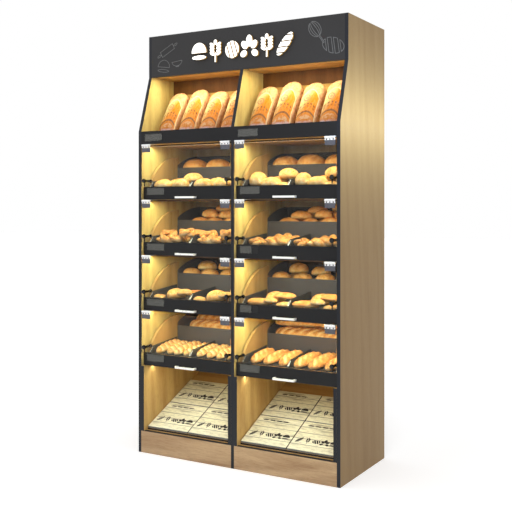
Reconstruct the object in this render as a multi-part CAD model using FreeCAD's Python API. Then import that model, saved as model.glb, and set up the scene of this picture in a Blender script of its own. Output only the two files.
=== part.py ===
import FreeCAD, Part
import math
import os

# Bakery bread rack: an oak cabinet of two bays. Each bay has a bin with a sloping floor at the
# bottom, four bread tiers above it, and a display bin under the sign board at the top. Each tier
# has a top-hinged clear flap, a fixed bread tray with a raised rear step, two arched oak cheeks,
# and a crumb drawer that runs in channels below the tray.
# Millimetres. The origin is on the floor at the centre of the footprint, +Z up, front at -Y.

Vec = FreeCAD.Vector

# ---------------------------------------------------------------- cabinet
WIDTH = 1200.0
DEPTH = 560.0
BOARD = 18.0
TIERS = 4
PLINTH_HEIGHT = 120.0
PLINTH_TOP_STRIP = 3.0
BOTTOM_BIN_HEIGHT = 350.0
TIER_PITCH = 300.0
RAIL_HEIGHT = 70.0
TOP_BIN_HEIGHT = 305.0
SIGN_HEIGHT = 225.0
SIGN_SETBACK = 93.0
HEADER_BOARD_RISE = 2.0
EDGE_TRIM = 2.0
BACK_THICKNESS = 8.0
BACK_INSET = 18.0
FOOT_RADIUS = 20.0
FOOT_STEM_RADIUS = 7.0
FOOT_PAD = 8.0
FOOT_FLANGE = 10.0
FOOT_INSET = 70.0
ROUND_SIDES = 8

# ---------------------------------------------------------------- display boards and stock
DISPLAY_BOARD = 8.0
BOTTOM_SLOPE = 23.8
BOTTOM_SLOPE_START = 34.0
BATTEN_DEPTH = 18.0
BATTEN_HEIGHT = 45.0
TOP_SLOPE = 57.0
TOP_BACK_SETBACK = 300.0
PACK_THICKNESS = 12.0
PACK_LENGTH = 222.0
PACK_GAP = 4.0
PACK_ROWS = 2
PACK_COLUMNS = 2
LOAF_BAG_WIDTH = 118.0
LOAF_BAG_THICKNESS = 84.0
LOAF_BAG_LENGTH = 290.0
LOAF_BAGS = 4
TALL_LOAF_BAG = 1
TALL_LOAF_BAG_EXTRA = 16.0
LOAF_BAG_PITCH = 134.0
LOAF_BAG_SIDE_GAP = 2.5
LOAF_BAG_ROW_SHIFT = {"left": 1.0, "right": 0.6}
LOAF_BAG_FOOT_RISE = 2.0
LOAF_BAG_CROWN_SIDES = 8

# ---------------------------------------------------------------- crumb drawer
DRAWER_FRONT_HEIGHT = 70.0
DRAWER_FRONT_THICKNESS = 18.0
DRAWER_SETBACK = 19.0
DRAWER_SIDE_GAP = 2.0
DRAWER_LIFT = 1.0
DRAWER_REAR_GAP = 1.0
PAN_LENGTH = 395.0
PAN_DEPTH = 26.0
PAN_SHEET = 1.2
PAN_FLOOR_LIFT = 5.0
RIM_HEIGHT = 4.0
RIM_WIDTH = 9.0
RUNNER_WEB = 1.5
RUNNER_PLAY = 0.4
RUNNER_END_PLAY = 3.0
HANDLE_LENGTH = 122.0
HANDLE_HEIGHT = 10.0
HANDLE_REACH = 27.0
HANDLE_BAR = 7.0
HANDLE_LEG = 9.0
HANDLE_CORNER = 5.0
HANDLE_CENTRE_RISE = 12.0

# ---------------------------------------------------------------- bread tray
CARRIER_WIDTH = 36.0
CARRIER_FRONT = 40.0
CARRIER_FRONT_HEIGHT = 38.0
TRAY_SLOPE = 5.0
TRAY_FRONT = 46.0
TRAY_SIDE_GAP = 24.0
TRAY_SHEET = 1.5
TRAY_WALL = 42.0
TRAY_WALL_RAKE = 26.0
TRAY_LIP = 12.0
STEP_SETBACK = 305.0
STEP_WALL_TOP = 185.0
STEP_FLOOR_DROP = 28.0
STEP_SIDE_FRONT_TOP = 200.0
STEP_BACK_TOP = 260.0
STEP_REAR_GAP = 1.0
CHEEK_BOARD = 15.0
CHEEK_RADIUS = 290.0
CHEEK_TOP = 245.0
CHEEK_ARC_END = 315.0
CHEEK_REAR = 320.0

# ---------------------------------------------------------------- flap and its hinges
FLAP_SHEET = 4.0
FLAP_SIDE_GAP = 3.0
FLAP_TOP_GAP = 1.0
FLAP_BOTTOM_GAP = 2.0
HINGE_WIDTH = 56.0
HINGE_INSET = 6.5
HINGE_LEAF = 2.0
HINGE_BARREL_RADIUS = 5.5
HINGE_PIN_RADIUS = 2.5
HINGE_PIN_PLAY = 0.08
HINGE_KNUCKLE_GAP = 0.6
HINGE_PIN_FORWARD = 3.5
HINGE_FIXED_LEAF_REACH = 62.0
HINGE_FLAP_LEAF_DROP = 44.0
KNOB_RADIUS = 9.5
KNOB_STANDOFF = 7.0
KNOB_INSET = 23.0
KNOB_RISE = 32.0
KNOB_ROD_RADIUS = 4.5
KNOB_SEAT = 5.5
KNOB_LATITUDES = [-67.5, -22.5, 22.5, 67.5]
KNOB_HOLE_PLAY = 0.1
BUMPER_PLAY = 0.4

# ---------------------------------------------------------------- lights
LED_WIDTH = 16.0
LED_HEIGHT = 9.0
LED_WALL = 1.5
LED_DIFFUSER = 1.5
LED_BEHIND_FRONT = 68.0
LED_BEHIND_SIGN = 1.0
LED_ABOVE_HEADER_FACE = 6.0
LED_END_GAP = 6.0

# ---------------------------------------------------------------- bread on the trays
LOAF_SIDES = 5
FRONT_LOAVES = 3
FRONT_LOAF_RADIUS = 36.0
FRONT_LOAF_PITCH = 68.0
FRONT_LOAF_LENGTH = 190.0
REAR_LOAVES = 3
REAR_LOAF_RADIUS = 44.0
REAR_LOAF_PITCH = 150.0
REAR_LOAF_INSET = 28.0
BREAD_GAP = 0.4

# ---------------------------------------------------------------- derived places
FRONT = -DEPTH / 2
BACK = DEPTH / 2
OUTER_PANELS = [(-WIDTH / 2, -WIDTH / 2 + BOARD), (WIDTH / 2 - BOARD, WIDTH / 2)]
BAY_WIDTH = (WIDTH - 3 * BOARD) / 2
BAYS = {"left": -(BAY_WIDTH + BOARD) / 2, "right": (BAY_WIDTH + BOARD) / 2}
BACK_FACE = BACK - BACK_INSET - BACK_THICKNESS
FIRST_TIER = PLINTH_HEIGHT + BOTTOM_BIN_HEIGHT
RAIL_BOTTOM = FIRST_TIER + TIERS * TIER_PITCH
RAIL_TOP = RAIL_BOTTOM + RAIL_HEIGHT
SIGN_BOTTOM = RAIL_TOP + TOP_BIN_HEIGHT
HEADER_BOARD = SIGN_BOTTOM + HEADER_BOARD_RISE
HEIGHT = SIGN_BOTTOM + SIGN_HEIGHT
SIGN_FACE = FRONT + SIGN_SETBACK
SIGN_BACK = SIGN_FACE + BOARD
SIGN_LED = SIGN_BACK + LED_BEHIND_SIGN
DRAWER_FACE = FRONT + DRAWER_SETBACK
DRAWER_BACK_OF_FRONT = DRAWER_FACE + DRAWER_FRONT_THICKNESS
TIER_FLOORS = [FIRST_TIER + tier * TIER_PITCH for tier in range(TIERS)]
HINGE_PIN_Y = FRONT - HINGE_PIN_FORWARD
FLAP_FACE = HINGE_PIN_Y + HINGE_LEAF


# ---------------------------------------------------------------- shape helpers
def box(x_range, y_range, z_range):
    """A box between two values on each axis."""
    size = [high - low for low, high in (x_range, y_range, z_range)]
    return Part.makeBox(*size, Vec(x_range[0], y_range[0], z_range[0]))


def extrude_x(edges, x_range):
    """A solid along X from a closed outline of edges in the plane x = 0."""
    face = Part.Face(Part.Wire(Part.__sortEdges__(edges)))
    solid = face.extrude(Vec(x_range[1] - x_range[0], 0, 0))
    solid.translate(Vec(x_range[0], 0, 0))
    return solid


def side_polygon(points, x_range):
    """A solid along X from the corners (y, z) of its outline."""
    corners = [Vec(0, y, z) for y, z in points]
    face = Part.Face(Part.makePolygon(corners + corners[:1]))
    solid = face.extrude(Vec(x_range[1] - x_range[0], 0, 0))
    solid.translate(Vec(x_range[0], 0, 0))
    return solid


def line(start, end):
    """A straight edge between two (y, z) points in the plane x = 0."""
    return Part.LineSegment(Vec(0, *start), Vec(0, *end)).toShape()


def arc(start, middle, end):
    """A circular edge through three (y, z) points in the plane x = 0."""
    return Part.Arc(Vec(0, *start), Vec(0, *middle), Vec(0, *end)).toShape()


def turned(centre, sections, direction):
    """A facetted round solid through sections (distance along the direction, radius)."""
    along = Vec(*direction)
    across = Vec(direction[1], direction[2], direction[0])
    upward = along.cross(across)
    angles = [(number + 0.5) * 2 * math.pi / ROUND_SIDES for number in range(ROUND_SIDES)]
    rings = [[centre + along * distance + across * (radius * math.cos(angle))
              + upward * (radius * math.sin(angle)) for angle in angles]
             for distance, radius in sections]
    outlines = [rings[0], rings[-1]]
    for ring, further in zip(rings, rings[1:]):
        for number in range(ROUND_SIDES):
            beside = (number + 1) % ROUND_SIDES
            outlines.append([ring[number], ring[beside], further[beside], further[number]])
    faces = [Part.Face(Part.makePolygon(outline + outline[:1])) for outline in outlines]
    return Part.Solid(Part.makeShell(faces))


def fuse(shapes):
    """One clean solid from shapes that meet."""
    return shapes[0].multiFuse(shapes[1:]).removeSplitter()


def tilt(shape, y, z, degrees):
    """Turns a shape about the X line through (y, z), rear end upwards."""
    shape.rotate(Vec(0, y, z), Vec(1, 0, 0), degrees)
    return shape


def save(name, solids):
    """Writes one node from its separate solids."""
    shape = solids[0] if len(solids) == 1 else Part.makeCompound(solids)
    shape.exportStep("parts/" + name + ".step")


def span(centre, width):
    """The range of a given width about a centre."""
    return (centre - width / 2, centre + width / 2)


def each_side(bay_centre, inset, thickness):
    """The two X ranges that lie a given inset inside the bay's walls."""
    half = BAY_WIDTH / 2
    left = (bay_centre - half + inset, bay_centre - half + inset + thickness)
    right = (bay_centre + half - inset - thickness, bay_centre + half - inset)
    return [left, right]


# ---------------------------------------------------------------- cabinet
def outer_front_line(set_back):
    """Front edge of an outer panel: upright, slanted at the top bin, upright at the sign."""
    return [(FRONT + set_back, 0), (FRONT + set_back, RAIL_TOP),
            (SIGN_FACE + set_back, SIGN_BOTTOM), (SIGN_FACE + set_back, HEIGHT)]


def outer_panel(x_range):
    return side_polygon(outer_front_line(EDGE_TRIM) + [(BACK, HEIGHT), (BACK, 0)], x_range)


def centre_front_line(set_back):
    """Front edge of the centre panel, below and above the rail, up to the sign."""
    y = FRONT + set_back
    return [(y, 0), (y, RAIL_BOTTOM)], [(y, RAIL_TOP), (SIGN_FACE + set_back, SIGN_BOTTOM)]


def centre_panel():
    """Middle wall, notched for the rail and for the sign, up to the header's lower board."""
    lower, upper = centre_front_line(EDGE_TRIM)
    notch = [(FRONT + BOARD, RAIL_BOTTOM), (FRONT + BOARD, RAIL_TOP)]
    behind_sign = [(SIGN_BACK, SIGN_BOTTOM), (SIGN_BACK, HEADER_BOARD)]
    rear = [(BACK_FACE, HEADER_BOARD), (BACK_FACE, 0)]
    return side_polygon(lower + notch + upper + behind_sign + rear, span(0, BOARD))


def strips_behind(front_line, x_range):
    """Edge bands that cover a front line, one to each straight run, mitred where they meet."""
    strips = []
    for low, high in zip(front_line, front_line[1:]):
        rear = [(high[0] + EDGE_TRIM, high[1]), (low[0] + EDGE_TRIM, low[1])]
        strips.append(side_polygon([low, high] + rear, x_range))
    return strips


def front_edge_trims():
    trims = []
    for x_range in OUTER_PANELS:
        trims += strips_behind(outer_front_line(0), x_range)
    for front_line in centre_front_line(0):
        trims += strips_behind(front_line, span(0, BOARD))
    for centre in BAYS.values():
        trims.append(box(span(centre, BAY_WIDTH), (FRONT, FRONT + BOARD),
                         (PLINTH_HEIGHT - PLINTH_TOP_STRIP, PLINTH_HEIGHT)))
    return trims


def levelling_foot(x, y):
    """Screw foot between the floor and the bottom board: pad, stem and flange."""
    top = PLINTH_HEIGHT - BOARD
    sections = [(0, FOOT_RADIUS), (FOOT_PAD, FOOT_STEM_RADIUS),
                (top - FOOT_FLANGE, FOOT_STEM_RADIUS), (top, FOOT_RADIUS)]
    return turned(Vec(x, y, 0), sections, (0, 0, 1))


def build_cabinet():
    save("side_panel_left", [outer_panel(OUTER_PANELS[0])])
    save("side_panel_right", [outer_panel(OUTER_PANELS[1])])
    save("centre_panel", [centre_panel()])
    save("front_edge_trims", front_edge_trims())
    inner = span(0, WIDTH - 2 * BOARD)
    save("back_panel", [box(inner, (BACK_FACE, BACK_FACE + BACK_THICKNESS), (0, HEIGHT - BOARD))])
    save("top_rail", [box(inner, (FRONT, FRONT + BOARD), (RAIL_BOTTOM, RAIL_TOP))])
    save("header_panel", [box(inner, (SIGN_FACE, SIGN_BACK), (SIGN_BOTTOM, HEIGHT))])
    save("header_boards", [
        box(inner, (SIGN_LED + LED_WIDTH, BACK_FACE), (HEADER_BOARD, HEADER_BOARD + BOARD)),
        box(inner, (SIGN_BACK, BACK_FACE + BACK_THICKNESS), (HEIGHT - BOARD, HEIGHT)),
    ])
    shelves, bottoms, plinths, liners, feet = [], [], [], [], []
    for centre in BAYS.values():
        across = span(centre, BAY_WIDTH)
        for floor in TIER_FLOORS:
            shelves.append(box(across, (DRAWER_BACK_OF_FRONT + DRAWER_REAR_GAP, BACK_FACE),
                               (floor, floor + BOARD)))
        shelves.append(box(across, (FRONT + BOARD, BACK_FACE), (RAIL_BOTTOM, RAIL_BOTTOM + BOARD)))
        bottoms.append(box(across, (FRONT + BOARD, BACK_FACE),
                           (PLINTH_HEIGHT - BOARD, PLINTH_HEIGHT)))
        plinths.append(box(across, (FRONT, FRONT + BOARD), (0, PLINTH_HEIGHT - PLINTH_TOP_STRIP)))
        for x_range in each_side(centre, 0, BOARD):
            liners.append(box(x_range, (FRONT, BACK_FACE), (PLINTH_HEIGHT, FIRST_TIER - DRAWER_LIFT)))
        for x in span(centre, BAY_WIDTH - 2 * FOOT_INSET):
            feet += [levelling_foot(x, y) for y in (FRONT + FOOT_INSET, BACK_FACE - FOOT_INSET)]
    save("shelf_boards", shelves)
    save("bottom_boards", bottoms)
    save("plinth_fronts", plinths)
    save("bottom_bin_liners", liners)
    save("levelling_feet", feet)


# ---------------------------------------------------------------- display bins and their stock
def bottom_display(centre):
    """Sloping floor of the bottom bin and the batten that carries its rear edge."""
    across = span(centre, BAY_WIDTH - 2 * BOARD)
    front = FRONT + BOTTOM_SLOPE_START
    rise = math.tan(math.radians(BOTTOM_SLOPE))
    thick = DISPLAY_BOARD / math.cos(math.radians(BOTTOM_SLOPE))
    low_rear = PLINTH_HEIGHT + (BACK_FACE - front) * rise
    low_batten = low_rear - BATTEN_DEPTH * rise
    board = side_polygon([(front, PLINTH_HEIGHT), (BACK_FACE, low_rear),
                          (BACK_FACE, low_rear + thick), (front, PLINTH_HEIGHT + thick)], across)
    batten_front = BACK_FACE - BATTEN_DEPTH
    batten = side_polygon([(batten_front, low_batten), (BACK_FACE, low_rear),
                           (BACK_FACE, low_rear - BATTEN_HEIGHT),
                           (batten_front, low_rear - BATTEN_HEIGHT)], across)
    return [board, batten]


def bag_packs(centre):
    """Flat packs of paper bags, side by side and one behind the other on the sloping floor."""
    front = FRONT + BOTTOM_SLOPE_START
    surface = PLINTH_HEIGHT + DISPLAY_BOARD / math.cos(math.radians(BOTTOM_SLOPE))
    width = (BAY_WIDTH - 2 * BOARD - (PACK_COLUMNS + 1) * PACK_GAP) / PACK_COLUMNS
    packs = []
    for column in range(PACK_COLUMNS):
        x = centre - BAY_WIDTH / 2 + BOARD + PACK_GAP + column * (width + PACK_GAP)
        for row in range(PACK_ROWS):
            y = front + row * (PACK_LENGTH + PACK_GAP)
            pack = box((x, x + width), (y, y + PACK_LENGTH), (surface, surface + PACK_THICKNESS))
            packs.append(tilt(pack, front, surface, BOTTOM_SLOPE))
    return packs


def top_display(centre):
    """Steep board that the bagged loaves lean on, cut off at the top bin's back."""
    floor = RAIL_BOTTOM + BOARD
    back = FRONT + TOP_BACK_SETBACK
    rise = math.tan(math.radians(TOP_SLOPE))
    thick = DISPLAY_BOARD / math.sin(math.radians(TOP_SLOPE))
    front = top_display_foot()
    return side_polygon([(front, floor), (back, floor + (back - front) * rise),
                         (back, floor + (back - front - thick) * rise), (front + thick, floor)],
                        span(centre, BAY_WIDTH))


def top_display_foot():
    """Y of the steep board's front face on the top bin's floor, one loaf bag behind the rail."""
    lean = LOAF_BAG_THICKNESS / math.sin(math.radians(TOP_SLOPE))
    return FRONT + BOARD + lean


def loaf_bag_row(bay):
    """X of each bagged loaf of a bay: an even row, with its spare room shared between the ends."""
    free = BAY_WIDTH - LOAF_BAG_WIDTH - 2 * LOAF_BAG_SIDE_GAP
    pitch = min(LOAF_BAG_PITCH, free / (LOAF_BAGS - 1))
    spare = free - (LOAF_BAGS - 1) * pitch
    first = BAYS[bay] - free / 2 + spare * LOAF_BAG_ROW_SHIFT[bay]
    return [first + number * pitch for number in range(LOAF_BAGS)]


def loaf_bag(x, length):
    """Bagged loaf: straight sides and a round top, standing on its rear edge against the board."""
    half = LOAF_BAG_WIDTH / 2
    shoulder = length - half
    angles = [math.pi * side / LOAF_BAG_CROWN_SIDES for side in range(LOAF_BAG_CROWN_SIDES + 1)]
    outline = [Vec(x + half * math.cos(angle), 0, shoulder + half * math.sin(angle))
               for angle in angles]
    outline += [Vec(x - half, 0, 0), Vec(x + half, 0, 0)]
    bag = Part.Face(Part.makePolygon(outline + outline[:1]))
    bag = bag.extrude(Vec(0, -LOAF_BAG_THICKNESS, 0))
    bag.rotate(Vec(0, 0, 0), Vec(1, 0, 0), TOP_SLOPE - 90)
    along = LOAF_BAG_FOOT_RISE / math.tan(math.radians(TOP_SLOPE))
    bag.translate(Vec(0, top_display_foot() + along, RAIL_BOTTOM + BOARD + LOAF_BAG_FOOT_RISE))
    return bag


def build_displays():
    floors, packs, boards, backs, bags = [], [], [], [], []
    back = FRONT + TOP_BACK_SETBACK
    for bay, centre in BAYS.items():
        floors += bottom_display(centre)
        packs += bag_packs(centre)
        boards.append(top_display(centre))
        backs.append(box(span(centre, BAY_WIDTH), (back, back + DISPLAY_BOARD),
                         (RAIL_BOTTOM + BOARD, HEADER_BOARD)))
        for number, x in enumerate(loaf_bag_row(bay)):
            extra = TALL_LOAF_BAG_EXTRA if number == TALL_LOAF_BAG else 0
            bags.append(loaf_bag(x, LOAF_BAG_LENGTH + extra))
    save("bottom_display_floors", floors)
    save("paper_bag_packs", packs)
    save("top_display_boards", boards)
    save("top_bin_backs", backs)
    save("bagged_loaves", bags)


# ---------------------------------------------------------------- bread trays
def carrier_top(floor, y):
    """Height of the carrier's sloping top edge, which the tray lies on."""
    rise = math.tan(math.radians(TRAY_SLOPE))
    return floor + BOARD + CARRIER_FRONT_HEIGHT + (y - FRONT - CARRIER_FRONT) * rise


def carrier(floor, x_range):
    """Wooden bearer on a side wall: it carries the tray and holds the drawer runner."""
    front = FRONT + CARRIER_FRONT
    return side_polygon([(front, floor + BOARD), (front, carrier_top(floor, front)),
                         (BACK_FACE, carrier_top(floor, BACK_FACE)), (BACK_FACE, floor + BOARD)],
                        x_range)


def tray(centre, floor):
    """Sheet steel tray: floor, lip, two raked sides and a divider, laid on the carriers."""
    front = FRONT + TRAY_FRONT
    seat = carrier_top(floor, front)
    length = (FRONT + STEP_SETBACK - front) / math.cos(math.radians(TRAY_SLOPE))
    rear = front + length - TRAY_WALL * math.tan(math.radians(TRAY_SLOPE))
    across = span(centre, BAY_WIDTH - 2 * TRAY_SIDE_GAP)
    base = box(across, (front, rear), (seat, seat + TRAY_SHEET))
    lip = box(across, (front, front + TRAY_SHEET), (seat, seat + TRAY_LIP))
    wall_line = [(front, seat), (front, seat + TRAY_LIP), (front + TRAY_WALL_RAKE, seat + TRAY_WALL),
                 (rear, seat + TRAY_WALL), (rear, seat)]
    walls = each_side(centre, TRAY_SIDE_GAP, TRAY_SHEET) + [span(centre, TRAY_SHEET)]
    uprights = [side_polygon(wall_line, x_range) for x_range in walls]
    return tilt(fuse([base, lip] + uprights), front, seat, TRAY_SLOPE)


def step_side(floor, x_range):
    """Side of the rear step, whose top edge rises in an arc that levels out at the back."""
    front = FRONT + STEP_SETBACK
    rear = BACK_FACE - STEP_REAR_GAP
    low = (front, floor + STEP_SIDE_FRONT_TOP)
    high = (rear, floor + STEP_BACK_TOP)
    run = rear - front
    rise = STEP_BACK_TOP - STEP_SIDE_FRONT_TOP
    radius = (run * run + rise * rise) / (2 * rise)
    middle = (rear - run / 2, high[1] - radius + math.sqrt(radius * radius - run * run / 4))
    foot_front = (front, carrier_top(floor, front))
    foot_rear = (rear, carrier_top(floor, rear))
    return extrude_x([line(foot_front, low), arc(low, middle, high), line(high, foot_rear),
                      line(foot_rear, foot_front)], x_range)


def step(centre, floor):
    """Raised rear step: riser, shelf, back and two curved sides in sheet steel."""
    front = FRONT + STEP_SETBACK
    rear = BACK_FACE - STEP_REAR_GAP
    across = span(centre, BAY_WIDTH - 2 * TRAY_SIDE_GAP)
    shelf = floor + STEP_WALL_TOP - STEP_FLOOR_DROP
    riser = box(across, (front, front + TRAY_SHEET),
                (carrier_top(floor, front + TRAY_SHEET), floor + STEP_WALL_TOP))
    base = box(across, (front, rear), (shelf - TRAY_SHEET, shelf))
    back = box(across, (rear - TRAY_SHEET, rear), (carrier_top(floor, rear), floor + STEP_BACK_TOP))
    sides = [step_side(floor, x_range)
             for x_range in each_side(centre, TRAY_SIDE_GAP, TRAY_SHEET)]
    return fuse([riser, base, back] + sides)


def cheek_front(floor, z, ahead=0.0):
    """Y at a height on the arc that lies a given distance ahead of the cheek's front edge."""
    centre_y = FRONT + CHEEK_ARC_END
    centre_z = floor + CHEEK_TOP - CHEEK_RADIUS
    return centre_y - math.sqrt((CHEEK_RADIUS + ahead) ** 2 - (z - centre_z) ** 2)


def cheek(floor, x_range):
    """Side board with an arched front edge, standing on the carrier against the tray."""
    arc_end = (FRONT + CHEEK_ARC_END, floor + CHEEK_TOP)
    foot_z = carrier_top(floor, FRONT + TRAY_FRONT)
    foot = (cheek_front(floor, foot_z), foot_z)
    foot = (foot[0], carrier_top(floor, foot[0]))
    centre_z = floor + CHEEK_TOP - CHEEK_RADIUS
    middle = (arc_end[0] - CHEEK_RADIUS * math.sqrt(0.5), centre_z + CHEEK_RADIUS * math.sqrt(0.5))
    rear_top = (FRONT + CHEEK_REAR, floor + CHEEK_TOP)
    rear_foot = (rear_top[0], carrier_top(floor, rear_top[0]))
    return extrude_x([arc(foot, middle, arc_end), line(arc_end, rear_top),
                      line(rear_top, rear_foot), line(rear_foot, foot)], x_range)


def half_round_loaf(radius, length):
    """Plain loaf: a flat-bottomed half round in facets, along Y from the origin."""
    angles = [math.pi * number / LOAF_SIDES for number in range(LOAF_SIDES + 1)]
    outline = [Vec(radius * math.cos(angle), 0, radius * math.sin(angle)) for angle in angles]
    return Part.Face(Part.makePolygon(outline + outline[:1])).extrude(Vec(0, length, 0))


def front_bread(centre, floor):
    """One row of loaves in each compartment of the front tray, in line with its slope."""
    front = FRONT + TRAY_FRONT
    seat = carrier_top(floor, front)
    room = BAY_WIDTH / 2 - TRAY_SIDE_GAP - 2 * TRAY_SHEET
    rows = []
    for side in (-1, 1):
        loaves = []
        for number in range(FRONT_LOAVES):
            loaf = half_round_loaf(FRONT_LOAF_RADIUS, FRONT_LOAF_LENGTH)
            x = centre + side * (room / 2 + TRAY_SHEET)
            x += (number - (FRONT_LOAVES - 1) / 2) * FRONT_LOAF_PITCH
            loaf.translate(Vec(x, front + TRAY_WALL_RAKE, seat + TRAY_SHEET + BREAD_GAP))
            loaves.append(loaf)
        rows.append(tilt(fuse(loaves), front, seat, TRAY_SLOPE))
    return rows


def rear_bread(centre, floor):
    """A row of loaves on the rear step, the same distance from its riser and its back."""
    shelf = floor + STEP_WALL_TOP - STEP_FLOOR_DROP
    front = FRONT + STEP_SETBACK + REAR_LOAF_INSET
    rear = BACK_FACE - STEP_REAR_GAP - REAR_LOAF_INSET
    loaves = []
    for number in range(REAR_LOAVES):
        loaf = half_round_loaf(REAR_LOAF_RADIUS, rear - front)
        x = centre + (number - (REAR_LOAVES - 1) / 2) * REAR_LOAF_PITCH
        loaf.translate(Vec(x, front, shelf + BREAD_GAP))
        loaves.append(loaf)
    return loaves


def build_trays():
    carriers, trays, steps, cheeks, fronts, rears = [], [], [], [], [], []
    for centre in BAYS.values():
        for floor in TIER_FLOORS:
            carriers += [carrier(floor, x_range)
                         for x_range in each_side(centre, 0, CARRIER_WIDTH)]
            trays.append(tray(centre, floor))
            steps.append(step(centre, floor))
            cheeks += [cheek(floor, x_range)
                       for x_range in each_side(centre, TRAY_SIDE_GAP - CHEEK_BOARD, CHEEK_BOARD)]
            fronts += front_bread(centre, floor)
            rears += rear_bread(centre, floor)
    save("tray_carriers", carriers)
    save("bread_trays", trays)
    save("rear_steps", steps)
    save("tray_cheeks", cheeks)
    save("front_bread", fronts)
    save("rear_bread", rears)


# ---------------------------------------------------------------- crumb drawers
def pan_half_width():
    """Half width of the pan's body, inside the runners on both carriers."""
    return BAY_WIDTH / 2 - CARRIER_WIDTH - RUNNER_WEB - RUNNER_END_PLAY - RIM_WIDTH


def rim_bottom(floor):
    """Underside of the pan's rim, which slides in the runners."""
    return floor + BOARD + PAN_FLOOR_LIFT + PAN_DEPTH - RIM_HEIGHT


def drawer(centre, floor):
    """Front board and the folded pan behind it, whose side rims hang in the runners."""
    front = box(span(centre, BAY_WIDTH - 2 * DRAWER_SIDE_GAP), (DRAWER_FACE, DRAWER_BACK_OF_FRONT),
                (floor + DRAWER_LIFT, floor + DRAWER_FRONT_HEIGHT))
    half = pan_half_width()
    bottom = floor + BOARD + PAN_FLOOR_LIFT
    depth = (DRAWER_BACK_OF_FRONT, DRAWER_BACK_OF_FRONT + PAN_LENGTH)
    shell = box((centre - half, centre + half), depth, (bottom, bottom + PAN_DEPTH))
    hollow = box((centre - half + PAN_SHEET, centre + half - PAN_SHEET),
                 (depth[0] + PAN_SHEET, depth[1] - PAN_SHEET),
                 (bottom + PAN_SHEET, bottom + PAN_DEPTH + PAN_SHEET))
    rim_z = (rim_bottom(floor), rim_bottom(floor) + RIM_HEIGHT)
    rims = [box((centre - half - RIM_WIDTH, centre - half), depth, rim_z),
            box((centre + half, centre + half + RIM_WIDTH), depth, rim_z)]
    return [front, fuse([shell.cut(hollow)] + rims)]


def runner(floor, wall_x, inward):
    """C-shaped channel on the carrier's inner face, open towards the drawer."""
    slot = (rim_bottom(floor) - RUNNER_PLAY, rim_bottom(floor) + RIM_HEIGHT + RUNNER_PLAY)
    outer = (slot[0] - RUNNER_WEB, slot[1] + RUNNER_WEB)
    length = (FRONT + CARRIER_FRONT, DRAWER_BACK_OF_FRONT + PAN_LENGTH + RUNNER_END_PLAY)
    reach = RUNNER_WEB + RUNNER_END_PLAY + RIM_WIDTH - RUNNER_PLAY
    x_outer = sorted((wall_x, wall_x + inward * reach))
    x_slot = sorted((wall_x + inward * RUNNER_WEB, wall_x + inward * (reach + RUNNER_WEB)))
    return box(x_outer, length, outer).cut(box(x_slot, length, slot))


def handle(centre, floor):
    """Bow handle: a bar on two legs with rounded front corners."""
    z_range = span(floor + HANDLE_CENTRE_RISE, HANDLE_HEIGHT)
    outer = box(span(centre, HANDLE_LENGTH), (DRAWER_FACE - HANDLE_REACH, DRAWER_FACE), z_range)
    corners = [edge for edge in outer.Edges
               if edge.BoundBox.ZLength > HANDLE_HEIGHT / 2
               and edge.BoundBox.YMax < DRAWER_FACE - HANDLE_REACH / 2]
    outer = outer.makeFillet(HANDLE_CORNER, corners)
    inner = box(span(centre, HANDLE_LENGTH - 2 * HANDLE_LEG),
                (DRAWER_FACE - HANDLE_REACH + HANDLE_BAR, DRAWER_FACE + HANDLE_BAR), z_range)
    return outer.cut(inner)


def build_drawers():
    runners = []
    for bay, centre in BAYS.items():
        for number, floor in enumerate(TIER_FLOORS, start=1):
            save("crumb_drawer_%s_%d" % (bay, number), drawer(centre, floor))
            save("drawer_handle_%s_%d" % (bay, number), [handle(centre, floor)])
            for inward in (1, -1):
                wall = centre - inward * (BAY_WIDTH / 2 - CARRIER_WIDTH)
                runners.append(runner(floor, wall, inward))
    save("drawer_runners", runners)


# ---------------------------------------------------------------- flaps
def facetted_bar(x_range, z, radius):
    """Bar along the hinge axis, whose flats lie at the radius, one of them on top."""
    corners = radius / math.cos(math.pi / ROUND_SIDES)
    sections = [(0, corners), (x_range[1] - x_range[0], corners)]
    return turned(Vec(x_range[0], HINGE_PIN_Y, z), sections, (1, 0, 0))


def hinge_pin(x_range, z):
    """Round pin through all the knuckles of a hinge."""
    return Part.makeCylinder(HINGE_PIN_RADIUS, x_range[1] - x_range[0],
                             Vec(x_range[0], HINGE_PIN_Y, z), Vec(1, 0, 0))


def knuckles(x_range):
    """Thirds of a hinge's width: two outer fixed knuckles and the moving one between them."""
    third = (x_range[1] - x_range[0]) / 3
    inner = (x_range[0] + third, x_range[1] - third)
    outer = [(x_range[0], inner[0]), (inner[1], x_range[1])]
    moving = (inner[0] + HINGE_KNUCKLE_GAP, inner[1] - HINGE_KNUCKLE_GAP)
    return outer, moving


def fixed_hinge_leaf(ceiling, x_range):
    """Leaf under the board above, with the outer knuckles and the pin."""
    pin_z = ceiling - HINGE_BARREL_RADIUS
    outer, _ = knuckles(x_range)
    leaf = [box(part, (HINGE_PIN_Y, FRONT + HINGE_FIXED_LEAF_REACH), (ceiling - HINGE_LEAF, ceiling))
            for part in outer]
    plate = box(x_range, (HINGE_PIN_Y + 2 * HINGE_BARREL_RADIUS, FRONT + HINGE_FIXED_LEAF_REACH),
                (ceiling - HINGE_LEAF, ceiling))
    rolls = [facetted_bar(part, pin_z, HINGE_BARREL_RADIUS) for part in outer]
    return fuse([plate, hinge_pin(x_range, pin_z)] + leaf + rolls)


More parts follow.
